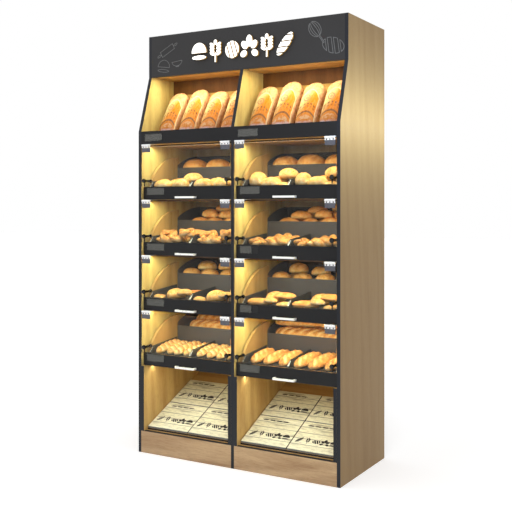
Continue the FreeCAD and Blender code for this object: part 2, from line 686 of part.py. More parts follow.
def flap_hinge_leaf(ceiling, x_range):
    """Leaf on the flap's face, with the middle knuckle that turns on the pin."""
    pin_z = ceiling - HINGE_BARREL_RADIUS
    _, moving = knuckles(x_range)
    thick = (HINGE_PIN_Y, HINGE_PIN_Y + HINGE_LEAF)
    leaf_top = pin_z - HINGE_BARREL_RADIUS - HINGE_KNUCKLE_GAP
    plate = box(x_range, thick, (ceiling - HINGE_FLAP_LEAF_DROP, leaf_top))
    neck = box(moving, thick, (leaf_top - HINGE_LEAF, pin_z))
    roll = facetted_bar(moving, pin_z, HINGE_BARREL_RADIUS)
    bore = facetted_bar(moving, pin_z, HINGE_PIN_RADIUS + HINGE_PIN_PLAY)
    return fuse([plate, neck, roll]).cut(bore)


def knob_rod(floor, x):
    """Ball knob on the flap's face, its rod through the flap, and the bumper ball behind."""
    z = floor + DRAWER_FRONT_HEIGHT + KNOB_RISE
    knob_y = FLAP_FACE - KNOB_STANDOFF
    bumper_y = cheek_front(floor, z, KNOB_RADIUS + BUMPER_PLAY)
    latitudes = [math.radians(angle) for angle in KNOB_LATITUDES]
    ball = [(KNOB_RADIUS * math.sin(angle), KNOB_RADIUS * math.cos(angle)) for angle in latitudes]
    seat = ball[:-1] + [(KNOB_STANDOFF, KNOB_SEAT)]
    rod = [(0, KNOB_ROD_RADIUS), (bumper_y - knob_y, KNOB_ROD_RADIUS)]
    forward = (0, 1, 0)
    return fuse([turned(Vec(x, knob_y, z), seat, forward),
                 turned(Vec(x, knob_y, z), rod, forward),
                 turned(Vec(x, bumper_y, z), ball, forward)])


def knob_places(centre):
    """X of the two knobs of a bay's flap."""
    return span(centre, BAY_WIDTH - 2 * KNOB_INSET)


def flap(centre, floor):
    """Clear sheet between the hinge barrels and the drawer front, drilled for the knob rods."""
    top = floor + TIER_PITCH - 2 * HINGE_BARREL_RADIUS - FLAP_TOP_GAP
    sheet = box(span(centre, BAY_WIDTH - 2 * FLAP_SIDE_GAP), (FLAP_FACE, FLAP_FACE + FLAP_SHEET),
                (floor + DRAWER_FRONT_HEIGHT + FLAP_BOTTOM_GAP, top))
    for x in knob_places(centre):
        place = Vec(x, FLAP_FACE, floor + DRAWER_FRONT_HEIGHT + KNOB_RISE)
        radius = KNOB_ROD_RADIUS + KNOB_HOLE_PLAY
        hole = [(-FLAP_SHEET, radius), (2 * FLAP_SHEET, radius)]
        sheet = sheet.cut(turned(place, hole, (0, 1, 0)))
    return sheet


def build_flaps():
    fixed = []
    for bay, centre in BAYS.items():
        for number, floor in enumerate(TIER_FLOORS, start=1):
            ceiling = floor + TIER_PITCH
            hinges = each_side(centre, HINGE_INSET, HINGE_WIDTH)
            fixed += [fixed_hinge_leaf(ceiling, x_range) for x_range in hinges]
            fittings = [flap_hinge_leaf(ceiling, x_range) for x_range in hinges]
            fittings += [knob_rod(floor, x) for x in knob_places(centre)]
            save("flap_%s_%d" % (bay, number), [flap(centre, floor)])
            save("flap_fittings_%s_%d" % (bay, number), fittings)
    save("hinge_fixed_leaves", fixed)


# ---------------------------------------------------------------- lights
def led_profile(x_range, front, ceiling):
    """Channel that opens downwards, under a board or between the sign and the board behind it."""
    outer = box(x_range, (front, front + LED_WIDTH), (ceiling - LED_HEIGHT, ceiling))
    slot = box(x_range, (front + LED_WALL, front + LED_WIDTH - LED_WALL),
               (ceiling - LED_HEIGHT, ceiling - LED_WALL))
    return outer.cut(slot)


def led_diffuser(x_range, front, ceiling):
    """Milky strip that closes the channel flush with its lips."""
    return box(x_range, (front + LED_WALL, front + LED_WIDTH - LED_WALL),
               (ceiling - LED_HEIGHT, ceiling - LED_HEIGHT + LED_DIFFUSER))


def build_lights():
    profiles, diffusers = [], []
    for centre in BAYS.values():
        bay = span(centre, BAY_WIDTH - 2 * LED_END_GAP)
        bin_bay = span(centre, BAY_WIDTH - 2 * (BOARD + LED_END_GAP))
        ceilings = TIER_FLOORS[1:] + [RAIL_BOTTOM]
        places = [(bay, FRONT + LED_BEHIND_FRONT, ceiling) for ceiling in ceilings]
        places.append((bin_bay, FRONT + LED_BEHIND_FRONT, FIRST_TIER))
        sign_led_top = HEADER_BOARD + LED_ABOVE_HEADER_FACE + LED_HEIGHT
        places.append((bay, SIGN_LED, sign_led_top))
        profiles += [led_profile(*place) for place in places]
        diffusers += [led_diffuser(*place) for place in places]
    save("led_profiles", profiles)
    save("led_diffusers", diffusers)


os.makedirs("parts", exist_ok=True)
build_cabinet()
build_displays()
build_trays()
build_drawers()
build_flaps()
build_lights()
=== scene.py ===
# %% [markdown]
# # A bread rack for a bakery
# An oak cabinet of two bays stands on the shop floor. Each bay has a bin for paper bags at the
# bottom, four bread tiers behind clear flaps, and a bin for bagged loaves under the sign board.
# The construction comes from the CAD frame, which this notebook never moves. It adds what makes
# the rack look real: the finish of each board, bread that looks baked, wrappings, hinges and sign.

# %% Load the frame
import math
import random
from collections import namedtuple

import bmesh
import bpy
from mathutils import Matrix, Vector, noise
from mathutils.bvhtree import BVHTree


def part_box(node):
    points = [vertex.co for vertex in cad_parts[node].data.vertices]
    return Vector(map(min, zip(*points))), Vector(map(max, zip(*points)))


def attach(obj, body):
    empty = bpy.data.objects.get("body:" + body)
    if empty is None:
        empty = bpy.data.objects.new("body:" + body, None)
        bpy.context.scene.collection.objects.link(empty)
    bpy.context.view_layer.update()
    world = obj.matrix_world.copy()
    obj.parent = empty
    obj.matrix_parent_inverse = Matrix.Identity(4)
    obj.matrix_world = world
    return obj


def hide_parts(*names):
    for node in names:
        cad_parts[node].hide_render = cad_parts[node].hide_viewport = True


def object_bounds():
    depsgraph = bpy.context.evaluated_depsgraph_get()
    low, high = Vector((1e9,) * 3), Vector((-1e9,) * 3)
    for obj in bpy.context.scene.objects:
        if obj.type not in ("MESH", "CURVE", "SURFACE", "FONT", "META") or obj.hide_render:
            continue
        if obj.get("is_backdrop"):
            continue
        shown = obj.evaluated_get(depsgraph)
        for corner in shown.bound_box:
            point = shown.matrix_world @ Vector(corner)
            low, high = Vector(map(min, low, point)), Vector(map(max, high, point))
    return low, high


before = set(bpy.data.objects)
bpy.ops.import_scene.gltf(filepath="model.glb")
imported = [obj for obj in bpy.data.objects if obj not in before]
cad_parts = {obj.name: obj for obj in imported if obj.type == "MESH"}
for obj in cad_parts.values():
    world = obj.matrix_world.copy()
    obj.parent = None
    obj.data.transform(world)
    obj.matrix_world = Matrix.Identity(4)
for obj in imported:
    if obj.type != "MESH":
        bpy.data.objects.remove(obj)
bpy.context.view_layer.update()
scene = bpy.context.scene

# %% [markdown]
# ## Places
# A shop fitter measures from the walls of a bay and from the board that each tier stands on. The
# same places are read from the frame here, so every new piece follows the cabinet if it changes.

# %% Walls, tiers and fronts
BAYS = ("left", "right")
TIERS = (1, 2, 3, 4)
WALLS = {"left": (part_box("side_panel_left")[1].x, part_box("centre_panel")[0].x),
         "right": (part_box("centre_panel")[1].x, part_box("side_panel_right")[0].x)}
CENTRE = {bay: sum(WALLS[bay]) / 2 for bay in BAYS}
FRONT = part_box("plinth_fronts")[0].y
OUTER_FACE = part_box("side_panel_right")[1].x
BACK_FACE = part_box("back_panel")[0].y
DRAWER_FRONT_LIFT = 0.001
FLOOR = {tier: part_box(f"crumb_drawer_left_{tier}")[0].z - DRAWER_FRONT_LIFT for tier in TIERS}
PITCH = FLOOR[2] - FLOOR[1]
RAIL_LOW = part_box("top_rail")[0]
SIGN_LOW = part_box("header_panel")[0]
print("Bay width:", round(WALLS["left"][1] - WALLS["left"][0], 4), "tier pitch:", round(PITCH, 4))

# %% [markdown]
# ## Camera
# The rack is seen from the front and the right, at chest height. The camera is level, so
# uprights stay upright, and a small vertical shift frames the tall cabinet without tilting it.

# %% Camera
CAMERA_PLACE = (2.2825, -3.9639, 1.3321)
CAMERA_TURN = 30.198
LENS = 59.88
SENSOR_WIDTH = 36
SHIFT = -0.0962


def add_object(name, data):
    """A new object in the scene."""
    thing = bpy.data.objects.new(name, data)
    scene.collection.objects.link(thing)
    return thing


camera_data = bpy.data.cameras.new("camera")
camera_data.lens = LENS
camera_data.sensor_width = SENSOR_WIDTH
camera_data.shift_y = SHIFT
camera = add_object("camera", camera_data)
camera.location = CAMERA_PLACE
camera.rotation_euler = (math.radians(90), 0, math.radians(CAMERA_TURN))
scene.camera = camera
print("Camera at", CAMERA_PLACE, "turned", CAMERA_TURN, "degrees")

# %% [markdown]
# ## Node helpers
# Blender's materials are node trees. A few small helpers keep the recipes below short. One turns a
# colour as a painter reads it (0 to 255) into the linear numbers that the renderer wants, one adds
# a node and wires its inputs, and on that one stand the helpers for blending, arithmetic and noise.
# The last few start a material or a shared group, and link what they made to its shader.


# %% Helpers for nodes
def paint(red, green, blue):
    """A linear colour from the 0 to 255 values of a screen colour."""
    parts = [value / 255 for value in (red, green, blue)]
    linear = [p / 12.92 if p <= 0.04045 else ((p + 0.055) / 1.055) ** 2.4 for p in parts]
    return (*linear, 1.0)


def put(tree, kind, inputs=None, **settings):
    """Adds a node with its settings, and sets or links its inputs."""
    made = tree.nodes.new(kind)
    for name, value in settings.items():
        setattr(made, name, value)
    for name, value in (inputs or {}).items():
        if isinstance(value, bpy.types.NodeSocket):
            tree.links.new(value, made.inputs[name])
        else:
            made.inputs[name].default_value = value
    return made


def blend_colours(tree, factor, first, second):
    """The colour output of a Mix node."""
    return put(tree, "ShaderNodeMix", {0: factor, 6: first, 7: second}, data_type="RGBA").outputs[2]


def calculate(tree, how, first, second=0.0):
    """The output of a Math node, kept within 0 and 1."""
    return put(tree, "ShaderNodeMath", {0: first, 1: second}, operation=how, use_clamp=True).outputs[0]


def multiply(tree, first, second):
    """The product of two values."""
    return calculate(tree, "MULTIPLY", first, second)


def calculate_free(tree, how, *values):
    """The output of a Math node that may leave the range from 0 to 1."""
    return put(tree, "ShaderNodeMath", dict(enumerate(values)), operation=how).outputs[0]


def spread(tree, value, low, high, to_low=0.0, to_high=1.0):
    """A value stretched from one range to another."""
    return put(tree, "ShaderNodeMapRange", {0: value, 1: low, 2: high, 3: to_low, 4: to_high}).outputs[0]


def noise_value(tree, where, scale, detail, **more):
    """The value of a noise texture."""
    inputs = {"Vector": where, "Scale": scale, "Detail": detail, **more}
    return put(tree, "ShaderNodeTexNoise", inputs).outputs["Fac"]


def attribute(tree, name):
    """A value that each vertex carries."""
    return put(tree, "ShaderNodeAttribute", attribute_name=name).outputs["Fac"]


print("Linear value of a middle grey:", round(paint(128, 128, 128)[0], 4))


# %% Helpers for materials and groups
def new_finish(name, colour, roughness, **sockets):
    """A material with its shader's plain values. Returns the material, its tree and its shader."""
    finish = bpy.data.materials.new(name)
    finish.use_nodes = True
    shader = finish.node_tree.nodes["Principled BSDF"]
    shader.inputs["Base Color"].default_value = colour
    shader.inputs["Roughness"].default_value = roughness
    for key, value in sockets.items():
        shader.inputs[key.replace("_", " ")].default_value = value
    return finish, finish.node_tree, shader


def wire(tree, shader, **sources):
    """Links outputs to the shader's sockets, and a height to its normal through a Bump node."""
    height = sources.pop("height", None)
    if height is not None:
        source, strength, distance = height
        bump = put(tree, "ShaderNodeBump", {"Height": source, "Strength": strength, "Distance": distance})
        tree.links.new(bump.outputs[0], shader.inputs["Normal"])
    for key, source in sources.items():
        tree.links.new(source, shader.inputs[key.replace("_", " ")])


def start_group(name, inputs, outputs):
    """An empty node group with its sockets. Returns the tree, its input node and its output node."""
    tree = bpy.data.node_groups.new(name, "ShaderNodeTree")
    for socket, kind, value in inputs:
        made = tree.interface.new_socket(socket, in_out="INPUT", socket_type="NodeSocket" + kind)
        if value is not None:
            made.default_value = value
    for socket, kind in outputs:
        tree.interface.new_socket(socket, in_out="OUTPUT", socket_type="NodeSocket" + kind)
    return tree, tree.nodes.new("NodeGroupInput"), tree.nodes.new("NodeGroupOutput")


def put_out(tree, result, **values):
    """Links values to a group's outputs."""
    for name, value in values.items():
        tree.links.new(value, result.inputs[name])


def place(tree, turn=(0, 0, 0), scale=(1, 1, 1)):
    """Object coordinates, turned and scaled."""
    source = put(tree, "ShaderNodeTexCoord").outputs["Object"]
    turned = [math.radians(angle) for angle in turn]
    return put(tree, "ShaderNodeMapping", {"Vector": source, "Rotation": turned, "Scale": scale}).outputs[0]


def use_group(tree, group, inputs):
    """Places a node group, sets its inputs and returns its outputs."""
    return put(tree, "ShaderNodeGroup", inputs, node_tree=group).outputs


def wire_group(tree, shader, made, strength, distance):
    """Links a shared effect's colour, roughness and height to the shader."""
    wire(tree, shader, Base_Color=made["Color"], Roughness=made["Roughness"],
         height=(made["Height"], strength, distance))


print("Helpers for materials ready")

# %% [markdown]
# ## Shared effects
# Two effects turn up on many finishes, so each is a node group that is built once. *Oak figure* is
# the printed wood of a laminate: slow shading, arched growth rings and fine pores, all drawn out
# along the grain. *Fine mottle* is the faint unevenness and orange peel that keeps paint, plastic
# and metal from looking like plain colour.


# %% Oak figure
def oak_figure():
    tree, given, result = start_group(
        "Oak figure",
        [("Vector", "Vector", None), ("Pale", "Color", (1, 1, 1, 1)), ("Dark", "Color", (0, 0, 0, 1)),
         ("Figure", "Float", 1.0)],
        [("Color", "Color"), ("Roughness", "Float"), ("Height", "Float")])
    along = put(tree, "ShaderNodeVectorMath", {0: given.outputs["Vector"], 1: (1.0, 1.0, 0.09)},
                operation="MULTIPLY").outputs[0]
    slow = noise_value(tree, along, 9.0, 4.0, Roughness=0.6, Distortion=0.8)
    bands = {"Vector": along, "Scale": 6.5, "Distortion": 9.0, "Detail": 2.5, "Detail Scale": 1.1,
             "Detail Roughness": 0.55}
    rings = put(tree, "ShaderNodeTexWave", bands, wave_type="BANDS",
                bands_direction="DIAGONAL").outputs["Fac"]
    fibres = noise_value(tree, along, 170.0, 3.0, Roughness=0.7)
    pores = spread(tree, noise_value(tree, along, 420.0, 1.0), 0.60, 0.72)
    shade = multiply(tree, spread(tree, rings, 0.1, 1.0), 0.34)
    shade = calculate(tree, "ADD", shade, spread(tree, slow, 0.35, 0.7, 0.0, 0.5))
    shade = calculate(tree, "ADD", shade, spread(tree, fibres, 0.35, 0.75, -0.12, 0.24))
    shade = multiply(tree, shade, given.outputs["Figure"])
    colour = blend_colours(tree, shade, given.outputs["Pale"], given.outputs["Dark"])
    colour = blend_colours(tree, multiply(tree, pores, 0.45), colour, given.outputs["Dark"])
    put_out(tree, result, Color=colour, Roughness=spread(tree, shade, 0, 1, 0.42, 0.56),
            Height=spread(tree, pores, 0, 1, 0.5, 0.0))
    return tree


OAK_FIGURE = oak_figure()
print("Group:", OAK_FIGURE.name)


# %% Fine mottle
def fine_mottle():
    tree, given, result = start_group(
        "Fine mottle",
        [("Vector", "Vector", None), ("Scale", "Float", 60.0), ("Colour", "Color", (1, 1, 1, 1)),
         ("Depth", "Float", 0.2), ("Roughness low", "Float", 0.3), ("Roughness high", "Float", 0.5)],
        [("Color", "Color"), ("Roughness", "Float"), ("Height", "Float")])
    broad = noise_value(tree, given.outputs["Vector"], 4.0, 3.0)
    peel = noise_value(tree, given.outputs["Vector"], given.outputs["Scale"], 2.0)
    both = calculate(tree, "ADD", multiply(tree, broad, 0.6), multiply(tree, peel, 0.4))
    amount = multiply(tree, spread(tree, both, 0.3, 0.7), given.outputs["Depth"])
    darker = blend_colours(tree, 0.55, given.outputs["Colour"], (0.0, 0.0, 0.0, 1.0))
    colour = blend_colours(tree, amount, given.outputs["Colour"], darker)
    rough = spread(tree, both, 0.3, 0.7, given.outputs["Roughness low"], given.outputs["Roughness high"])
    put_out(tree, result, Color=colour, Roughness=rough, Height=peel)
    return tree


FINE_MOTTLE = fine_mottle()
print("Group:", FINE_MOTTLE.name)

# %% [markdown]
# ## Finishes of the cabinet
# The boards are faced with an oak print, whose grain runs along each board's length. The drawer
# fronts, the rail and the sign board are a matt anthracite laminate, and the front edges carry a
# thin dark band. Trays and steps are powder coated, and the flaps are clear acrylic.


# %% Oak boards, one finish for each direction of the grain
def oak(name, turn, pale, dark, figure=1.0):
    finish, tree, shader = new_finish(name, pale, 0.5, Specular_IOR_Level=0.4)
    made = use_group(tree, OAK_FIGURE, {"Vector": place(tree, turn), "Pale": pale, "Dark": dark,
                                        "Figure": figure})
    wire_group(tree, shader, made, 0.25, 0.0004)
    return finish


OAK_PALE = paint(147, 117, 71)
OAK_DARK = paint(122, 92, 52)
# Inside the bays the oak is brighter and yellower than outside: partly its own colour, partly painted light
# of the strip lamps.
INSIDE_OAK_LIT = paint(207, 185, 120)
INSIDE_OAK_LIT_DARK = paint(160, 124, 66)
# A darker, redder oak for the boards across the bays and the tray bearers: painted shade of the tiers'
# ceilings.
OAK_RED = paint(202, 166, 104)
OAK_RED_DARK = paint(152, 106, 54)
PANEL_OUTSIDE = 0.0006
UPRIGHT = (0, 0, 0)
ACROSS = (0, 90, 0)
DEEP = (90, 0, 0)


def side_oak():
    """Grey oak on a side panel's outer face and rear edge, and the bays' warm oak on its inner face, whose
    brighter, yellower colour is partly painted light of the strip lamps.
    """
    finish, tree, shader = new_finish("oak_side", OAK_PALE, 0.5, Specular_IOR_Level=0.25)
    where = place(tree)
    grey, warm = (use_group(tree, OAK_FIGURE, {"Vector": where, "Pale": pale, "Dark": dark, "Figure": figure})
                  for pale, dark, figure in ((OAK_PALE, OAK_DARK, 0.5), (INSIDE_OAK_LIT, INSIDE_OAK_LIT_DARK, 0.8)))
    spot = put(tree, "ShaderNodeSeparateXYZ", {0: where}).outputs
    outside = spread(tree, calculate_free(tree, "ABSOLUTE", spot["X"]), OUTER_FACE - 2 * PANEL_OUTSIDE,
                     OUTER_FACE - PANEL_OUTSIDE)
    behind = spread(tree, spot["Y"], BACK_FACE + 0.002, BACK_FACE + 0.004)
    outside = calculate(tree, "MAXIMUM", outside, behind)
    colour = blend_colours(tree, outside, warm["Color"], grey["Color"])
    wire(tree, shader, Base_Color=colour, Roughness=grey["Roughness"], height=(grey["Height"], 0.25, 0.0004))
    return finish


oak_upright = side_oak()
oak_liner = oak("oak_liner", UPRIGHT, paint(208, 176, 112), paint(156, 112, 58), 0.8)
# The backs of the top bins are a dark brown oak: painted shade of the back wall under the sign.
oak_shadow = oak("oak_shadow", UPRIGHT, paint(112, 72, 36), paint(70, 44, 22), 0.8)
oak_back = oak("oak_back", UPRIGHT, paint(190, 168, 132), paint(142, 116, 86), 0.8)
oak_across = oak("oak_across", ACROSS, paint(186, 157, 120), paint(134, 100, 68))
oak_inner = oak("oak_inner", UPRIGHT, INSIDE_OAK_LIT, INSIDE_OAK_LIT_DARK, 0.8)
oak_inner_across = oak("oak_inner_across", ACROSS, OAK_RED, OAK_RED_DARK, 0.8)
oak_bearer = oak("oak_bearer", DEEP, OAK_RED, OAK_RED_DARK, 0.9)
# The cheeks are a darker oak than the walls beside them: painted shade.
oak_cheek_shaded = oak("oak_cheek_shaded", UPRIGHT, paint(184, 150, 94), paint(132, 100, 58), 0.9)
print("Oak finishes:", [m.name for m in bpy.data.materials if m.name.startswith("oak")])


# %% Laminate, edging, paint, metal and rubber
def mottled(name, colour, low, high, scale, depth, bump, **sockets):
    """A finish with the fine mottle over one colour."""
    finish, tree, shader = new_finish(name, colour, (low + high) / 2, **sockets)
    made = use_group(tree, FINE_MOTTLE, {"Vector": place(tree), "Scale": scale, "Colour": colour,
                                         "Depth": depth, "Roughness low": low, "Roughness high": high})
    wire_group(tree, shader, made, bump, 0.0006)
    return finish


anthracite = mottled("anthracite_board", paint(29, 29, 31), 0.5, 0.65, 240.0, 0.3, 0.12,
                     Specular_IOR_Level=0.2)
sign_board = mottled("sign_board", paint(41, 40, 41), 0.5, 0.65, 240.0, 0.3, 0.12, Specular_IOR_Level=0.35)
edging = mottled("dark_edging", paint(16, 19, 28), 0.4, 0.55, 120.0, 0.2, 0.05, Specular_IOR_Level=0.3)
coated_steel = mottled("coated_steel", paint(62, 60, 60), 0.38, 0.5, 380.0, 0.25, 0.12,
                       Specular_IOR_Level=0.5)
step_steel = mottled("step_steel", paint(78, 75, 80), 0.42, 0.55, 380.0, 0.25, 0.12)
bronze = mottled("bronze_aluminium", paint(84, 60, 40), 0.4, 0.5, 140.0, 0.2, 0.02, Metallic=0.2)
satin_steel = mottled("satin_steel", paint(246, 246, 242), 0.24, 0.36, 90.0, 0.08, 0.03, Metallic=0.25)
nickel = mottled("nickel", paint(244, 244, 246), 0.16, 0.28, 160.0, 0.1, 0.02, Metallic=0.4)
leaf_grey = mottled("leaf_grey", paint(84, 84, 92), 0.35, 0.5, 200.0, 0.2, 0.05, Metallic=0.2)
galvanised = mottled("galvanised_steel", paint(176, 178, 180), 0.35, 0.55, 40.0, 0.35, 0.05, Metallic=0.9)
black_gloss = mottled("black_gloss", paint(8, 8, 10), 0.2, 0.26, 30.0, 0.15, 0.0, Specular_IOR_Level=0.35)
rubber = mottled("black_rubber", paint(34, 34, 35), 0.6, 0.8, 90.0, 0.3, 0.15)
print("Mottled finishes ready")


# %% Clear acrylic and the milky diffuser
def clear_sheet(name, colour, roughness):
    """Acrylic: light from the lamps passes straight through it, and its faces still reflect."""
    finish, tree, shader = new_finish(name, colour, roughness, IOR=1.2, Transmission_Weight=1.0,
                                      Specular_IOR_Level=0.3)
    made = use_group(tree, FINE_MOTTLE, {"Vector": place(tree), "Scale": 7.0, "Colour": colour,
                                         "Depth": 0.04, "Roughness low": roughness,
                                         "Roughness high": roughness + 0.02})
    wire(tree, shader, Base_Color=made["Color"], Roughness=made["Roughness"])
    path = put(tree, "ShaderNodeLightPath")
    passing = calculate(tree, "MAXIMUM", path.outputs["Is Shadow Ray"], path.outputs["Is Diffuse Ray"])
    clear = put(tree, "ShaderNodeBsdfTransparent", {"Color": colour})
    mixed = put(tree, "ShaderNodeMixShader", {0: passing, 1: shader.outputs[0], 2: clear.outputs[0]})
    tree.links.new(mixed.outputs[0], tree.nodes["Material Output"].inputs["Surface"])
    return finish


acrylic = clear_sheet("clear_acrylic", (0.93, 0.95, 0.95, 1.0), 0.01)
LIT = (1.0, 0.86, 0.58, 1.0)
diffuser = mottled("led_diffuser", paint(255, 240, 205), 0.5, 0.6, 90.0, 0.05, 0.0,
                   Emission_Color=LIT, Emission_Strength=0.3)
print("Clear finishes ready")

# %% [markdown]
# ## Dress the CAD nodes
# A frame node keeps its mesh, so it is dressed by filling its material slot. The table names the
# nodes that one finish covers; whatever is not in it is replaced by a modelled piece further down.

# %% Dress the nodes
DRESS = {
    oak_upright: ["side_panel_left", "side_panel_right"],
    oak_inner: ["centre_panel"],
    oak_back: ["back_panel"],
    oak_liner: ["bottom_bin_liners"],
    oak_shadow: ["top_bin_backs"],
    oak_inner_across: ["shelf_boards", "header_boards", "bottom_boards", "bottom_display_floors",
                       "top_display_boards"],
    oak_across: ["plinth_fronts"],
    oak_bearer: ["tray_carriers"],
    anthracite: ["top_rail"],
    sign_board: ["header_panel"],
    edging: ["front_edge_trims"],
    coated_steel: ["bread_trays"],
    step_steel: ["rear_steps"],
    oak_cheek_shaded: ["tray_cheeks"],
    galvanised: ["drawer_runners"],
    bronze: ["led_profiles"],
    diffuser: ["led_diffusers"],
}
for bay in BAYS:
    for tier in TIERS:
        DRESS[anthracite].append(f"crumb_drawer_{bay}_{tier}")
        DRESS.setdefault(satin_steel, []).append(f"drawer_handle_{bay}_{tier}")
        DRESS.setdefault(acrylic, []).append(f"flap_{bay}_{tier}")
for finish, names in DRESS.items():
    for name in names:
        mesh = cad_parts[name].data
        mesh.materials.clear()
        mesh.materials.append(finish)
print("Dressed nodes:", sum(len(names) for names in DRESS.values()))

# %% [markdown]
# ## Studio
# Product pictures are lit softly from all round, on a pale floor that runs into a white backdrop.
# Two broad suns and an even sky light the rack at a plain level, so its colours come out as they
# are written. A slim cool lamp beside the right panel adds a sheen, as a shop window would. The
# full white of sky and floor is only for the camera, for reflections and behind clear sheets.


# %% Floor, sky and lamps
FLOOR_HALF = 30.0
FLOOR_GLOW = 0.35
SKY_LIGHT = 0.62
WHITE = (1.0, 1.0, 1.0, 1.0)


def seen_rays(tree):
    """1 for the rays that show the backdrop: to the camera, off metal and through clear sheets."""
    path = put(tree, "ShaderNodeLightPath")
    seen = calculate(tree, "MAXIMUM", path.outputs["Is Camera Ray"], path.outputs["Is Transmission Ray"])
    return calculate(tree, "MAXIMUM", seen, path.outputs["Is Glossy Ray"])


def as_mesh(name, bm):
    """Turns a bmesh into a mesh, and frees it."""
    mesh = bpy.data.meshes.new(name)
    bm.to_mesh(mesh)
    bm.free()
    return mesh


def stage_floor():
    bm = bmesh.new()
    bmesh.ops.create_grid(bm, x_segments=1, y_segments=1, size=FLOOR_HALF)
    mesh = as_mesh("studio_floor", bm)
    finish, tree, shader = new_finish("studio_floor", (0.86, 0.86, 0.86, 1.0), 0.9,
                                      Specular_IOR_Level=0.1, Emission_Color=WHITE)
    wire(tree, shader, Emission_Strength=multiply(tree, seen_rays(tree), FLOOR_GLOW))
    mesh.materials.append(finish)
    floor = add_object("studio_floor", mesh)
    floor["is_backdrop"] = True


def stage_sky():
    sky = bpy.data.worlds.new("studio_sky")
    scene.world = sky
    sky.use_nodes = True
    tree = sky.node_tree
    background = tree.nodes["Background"]
    background.inputs["Color"].default_value = WHITE
    tree.links.new(spread(tree, seen_rays(tree), 0, 1, SKY_LIGHT, 1.0), background.inputs["Strength"])


def sun(name, azimuth, elevation, strength, softness):
    """A broad sun that shines from an azimuth, as the views count it, and an elevation."""
    lamp = bpy.data.lights.new(name, "SUN")
    lamp.energy = strength
    lamp.angle = math.radians(softness)
    a, e = math.radians(azimuth), math.radians(elevation)
    towards = Vector((math.sin(a) * math.cos(e), -math.cos(a) * math.cos(e), math.sin(e)))
    add_object(name, lamp).rotation_euler = towards.to_track_quat("Z", "Y").to_euler()


def strip_lamp(name, centre, size, turn, power, colour):
    """A rectangular lamp that lights the rack and is never seen itself."""
    lamp = bpy.data.lights.new(name, "AREA")
    lamp.shape = "RECTANGLE"
    lamp.size, lamp.size_y = size
    lamp.energy = power
    lamp.color = colour
    thing = add_object(name, lamp)
    thing.location = centre
    thing.rotation_euler = [math.radians(angle) for angle in turn]
    thing.visible_camera = thing.visible_glossy = thing.visible_transmission = False


SIDE_LAMP_PLACE = (OUTER_FACE + 0.26, 0.0, 1.77)
stage_floor()
stage_sky()
sun("key_light", 25, 38, 0.9, 40)
sun("fill_light", -40, 30, 0.45, 60)
strip_lamp("side_lamp", SIDE_LAMP_PLACE, (0.06, 1.6), (0, 90, 0), 10.0, (0.60, 0.78, 1.0))
scene.view_settings.view_transform = "Standard"
print("Studio lit, view transform:", scene.view_settings.view_transform)

# %% [markdown]
# ## Strip lights
# Under each board a strip of LEDs shines down through its milky cover. The cover glows by itself,
# and a warm area lamp just below it carries the light to the bread. The lamp over the bottom bin is
# weaker, and the one behind the sign board is shorter than its strip.

# %% Warm lamps under the strips
STRIP_COLOUR = (0.92, 0.90, 0.56)
BIN_COLOUR = (0.95, 0.90, 0.68)
STRIP_POWER = 2.5
BIN_SHARE = 0.25
TOP_SHARE = 0.95
STRIP_GAP = 0.002
LED_INSET = 0.008
LED_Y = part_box("led_profiles")[0].y + LED_INSET
LED_HANG = 0.009
SIGN_LED_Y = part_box("led_profiles")[1].y - LED_INSET
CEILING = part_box("header_boards")[0].z
LAMP_ENDS = 0.012
LAMP_LENGTH = WALLS["left"][1] - WALLS["left"][0] - LAMP_ENDS
LAMP_WIDTH = 0.013
TOP_SHORTER = 0.12
for bay in BAYS:
    strips = [(tier, LED_Y, FLOOR[tier] + PITCH - LED_HANG, 0.0, 1.0, STRIP_COLOUR) for tier in TIERS]
    strips += [("bin", LED_Y, FLOOR[1] - LED_HANG, 0.0, BIN_SHARE, BIN_COLOUR),
               ("top", SIGN_LED_Y, CEILING, TOP_SHORTER, TOP_SHARE, STRIP_COLOUR)]
    for name, y, z, shorter, share, colour in strips:
        size = (LAMP_LENGTH - shorter, LAMP_WIDTH)
        strip_lamp(f"strip_{bay}_{name}", (CENTRE[bay], y, z - STRIP_GAP), size, (0, 0, 0),
                   STRIP_POWER * share, colour)

# %% [markdown]
# ## Modelling helpers
# Small parts start as a cube or a turned profile. The helpers below add such shapes to a bmesh, so
# that one piece can gather several of them, each with its own finish number. A block has its edges
# eased, because a real edge always catches a thin line of light.


# %% Blocks
def add_block(bm, low, high, easing, finish, steps=2):
    """A box between two corners, with eased edges."""
    low, high = Vector(low), Vector(high)
    shape = Matrix.Translation((low + high) / 2) @ Matrix.Diagonal((*(high - low), 1.0))
    made = bmesh.ops.create_cube(bm, size=1.0, matrix=shape)["verts"]
    edges = list({edge for vert in made for edge in vert.link_edges})
    faces = {face for vert in made for face in vert.link_faces}
    eased = bmesh.ops.bevel(bm, geom=edges, offset=easing, offset_type="OFFSET", segments=steps,
                            profile=0.5, material=-1, affect="EDGES", clamp_overlap=True)
    faces = {face for face in faces if face.is_valid}
    for face in faces.union(*(vert.link_faces for vert in eased["verts"])):
        face.material_index = finish


print("Blocks ready")


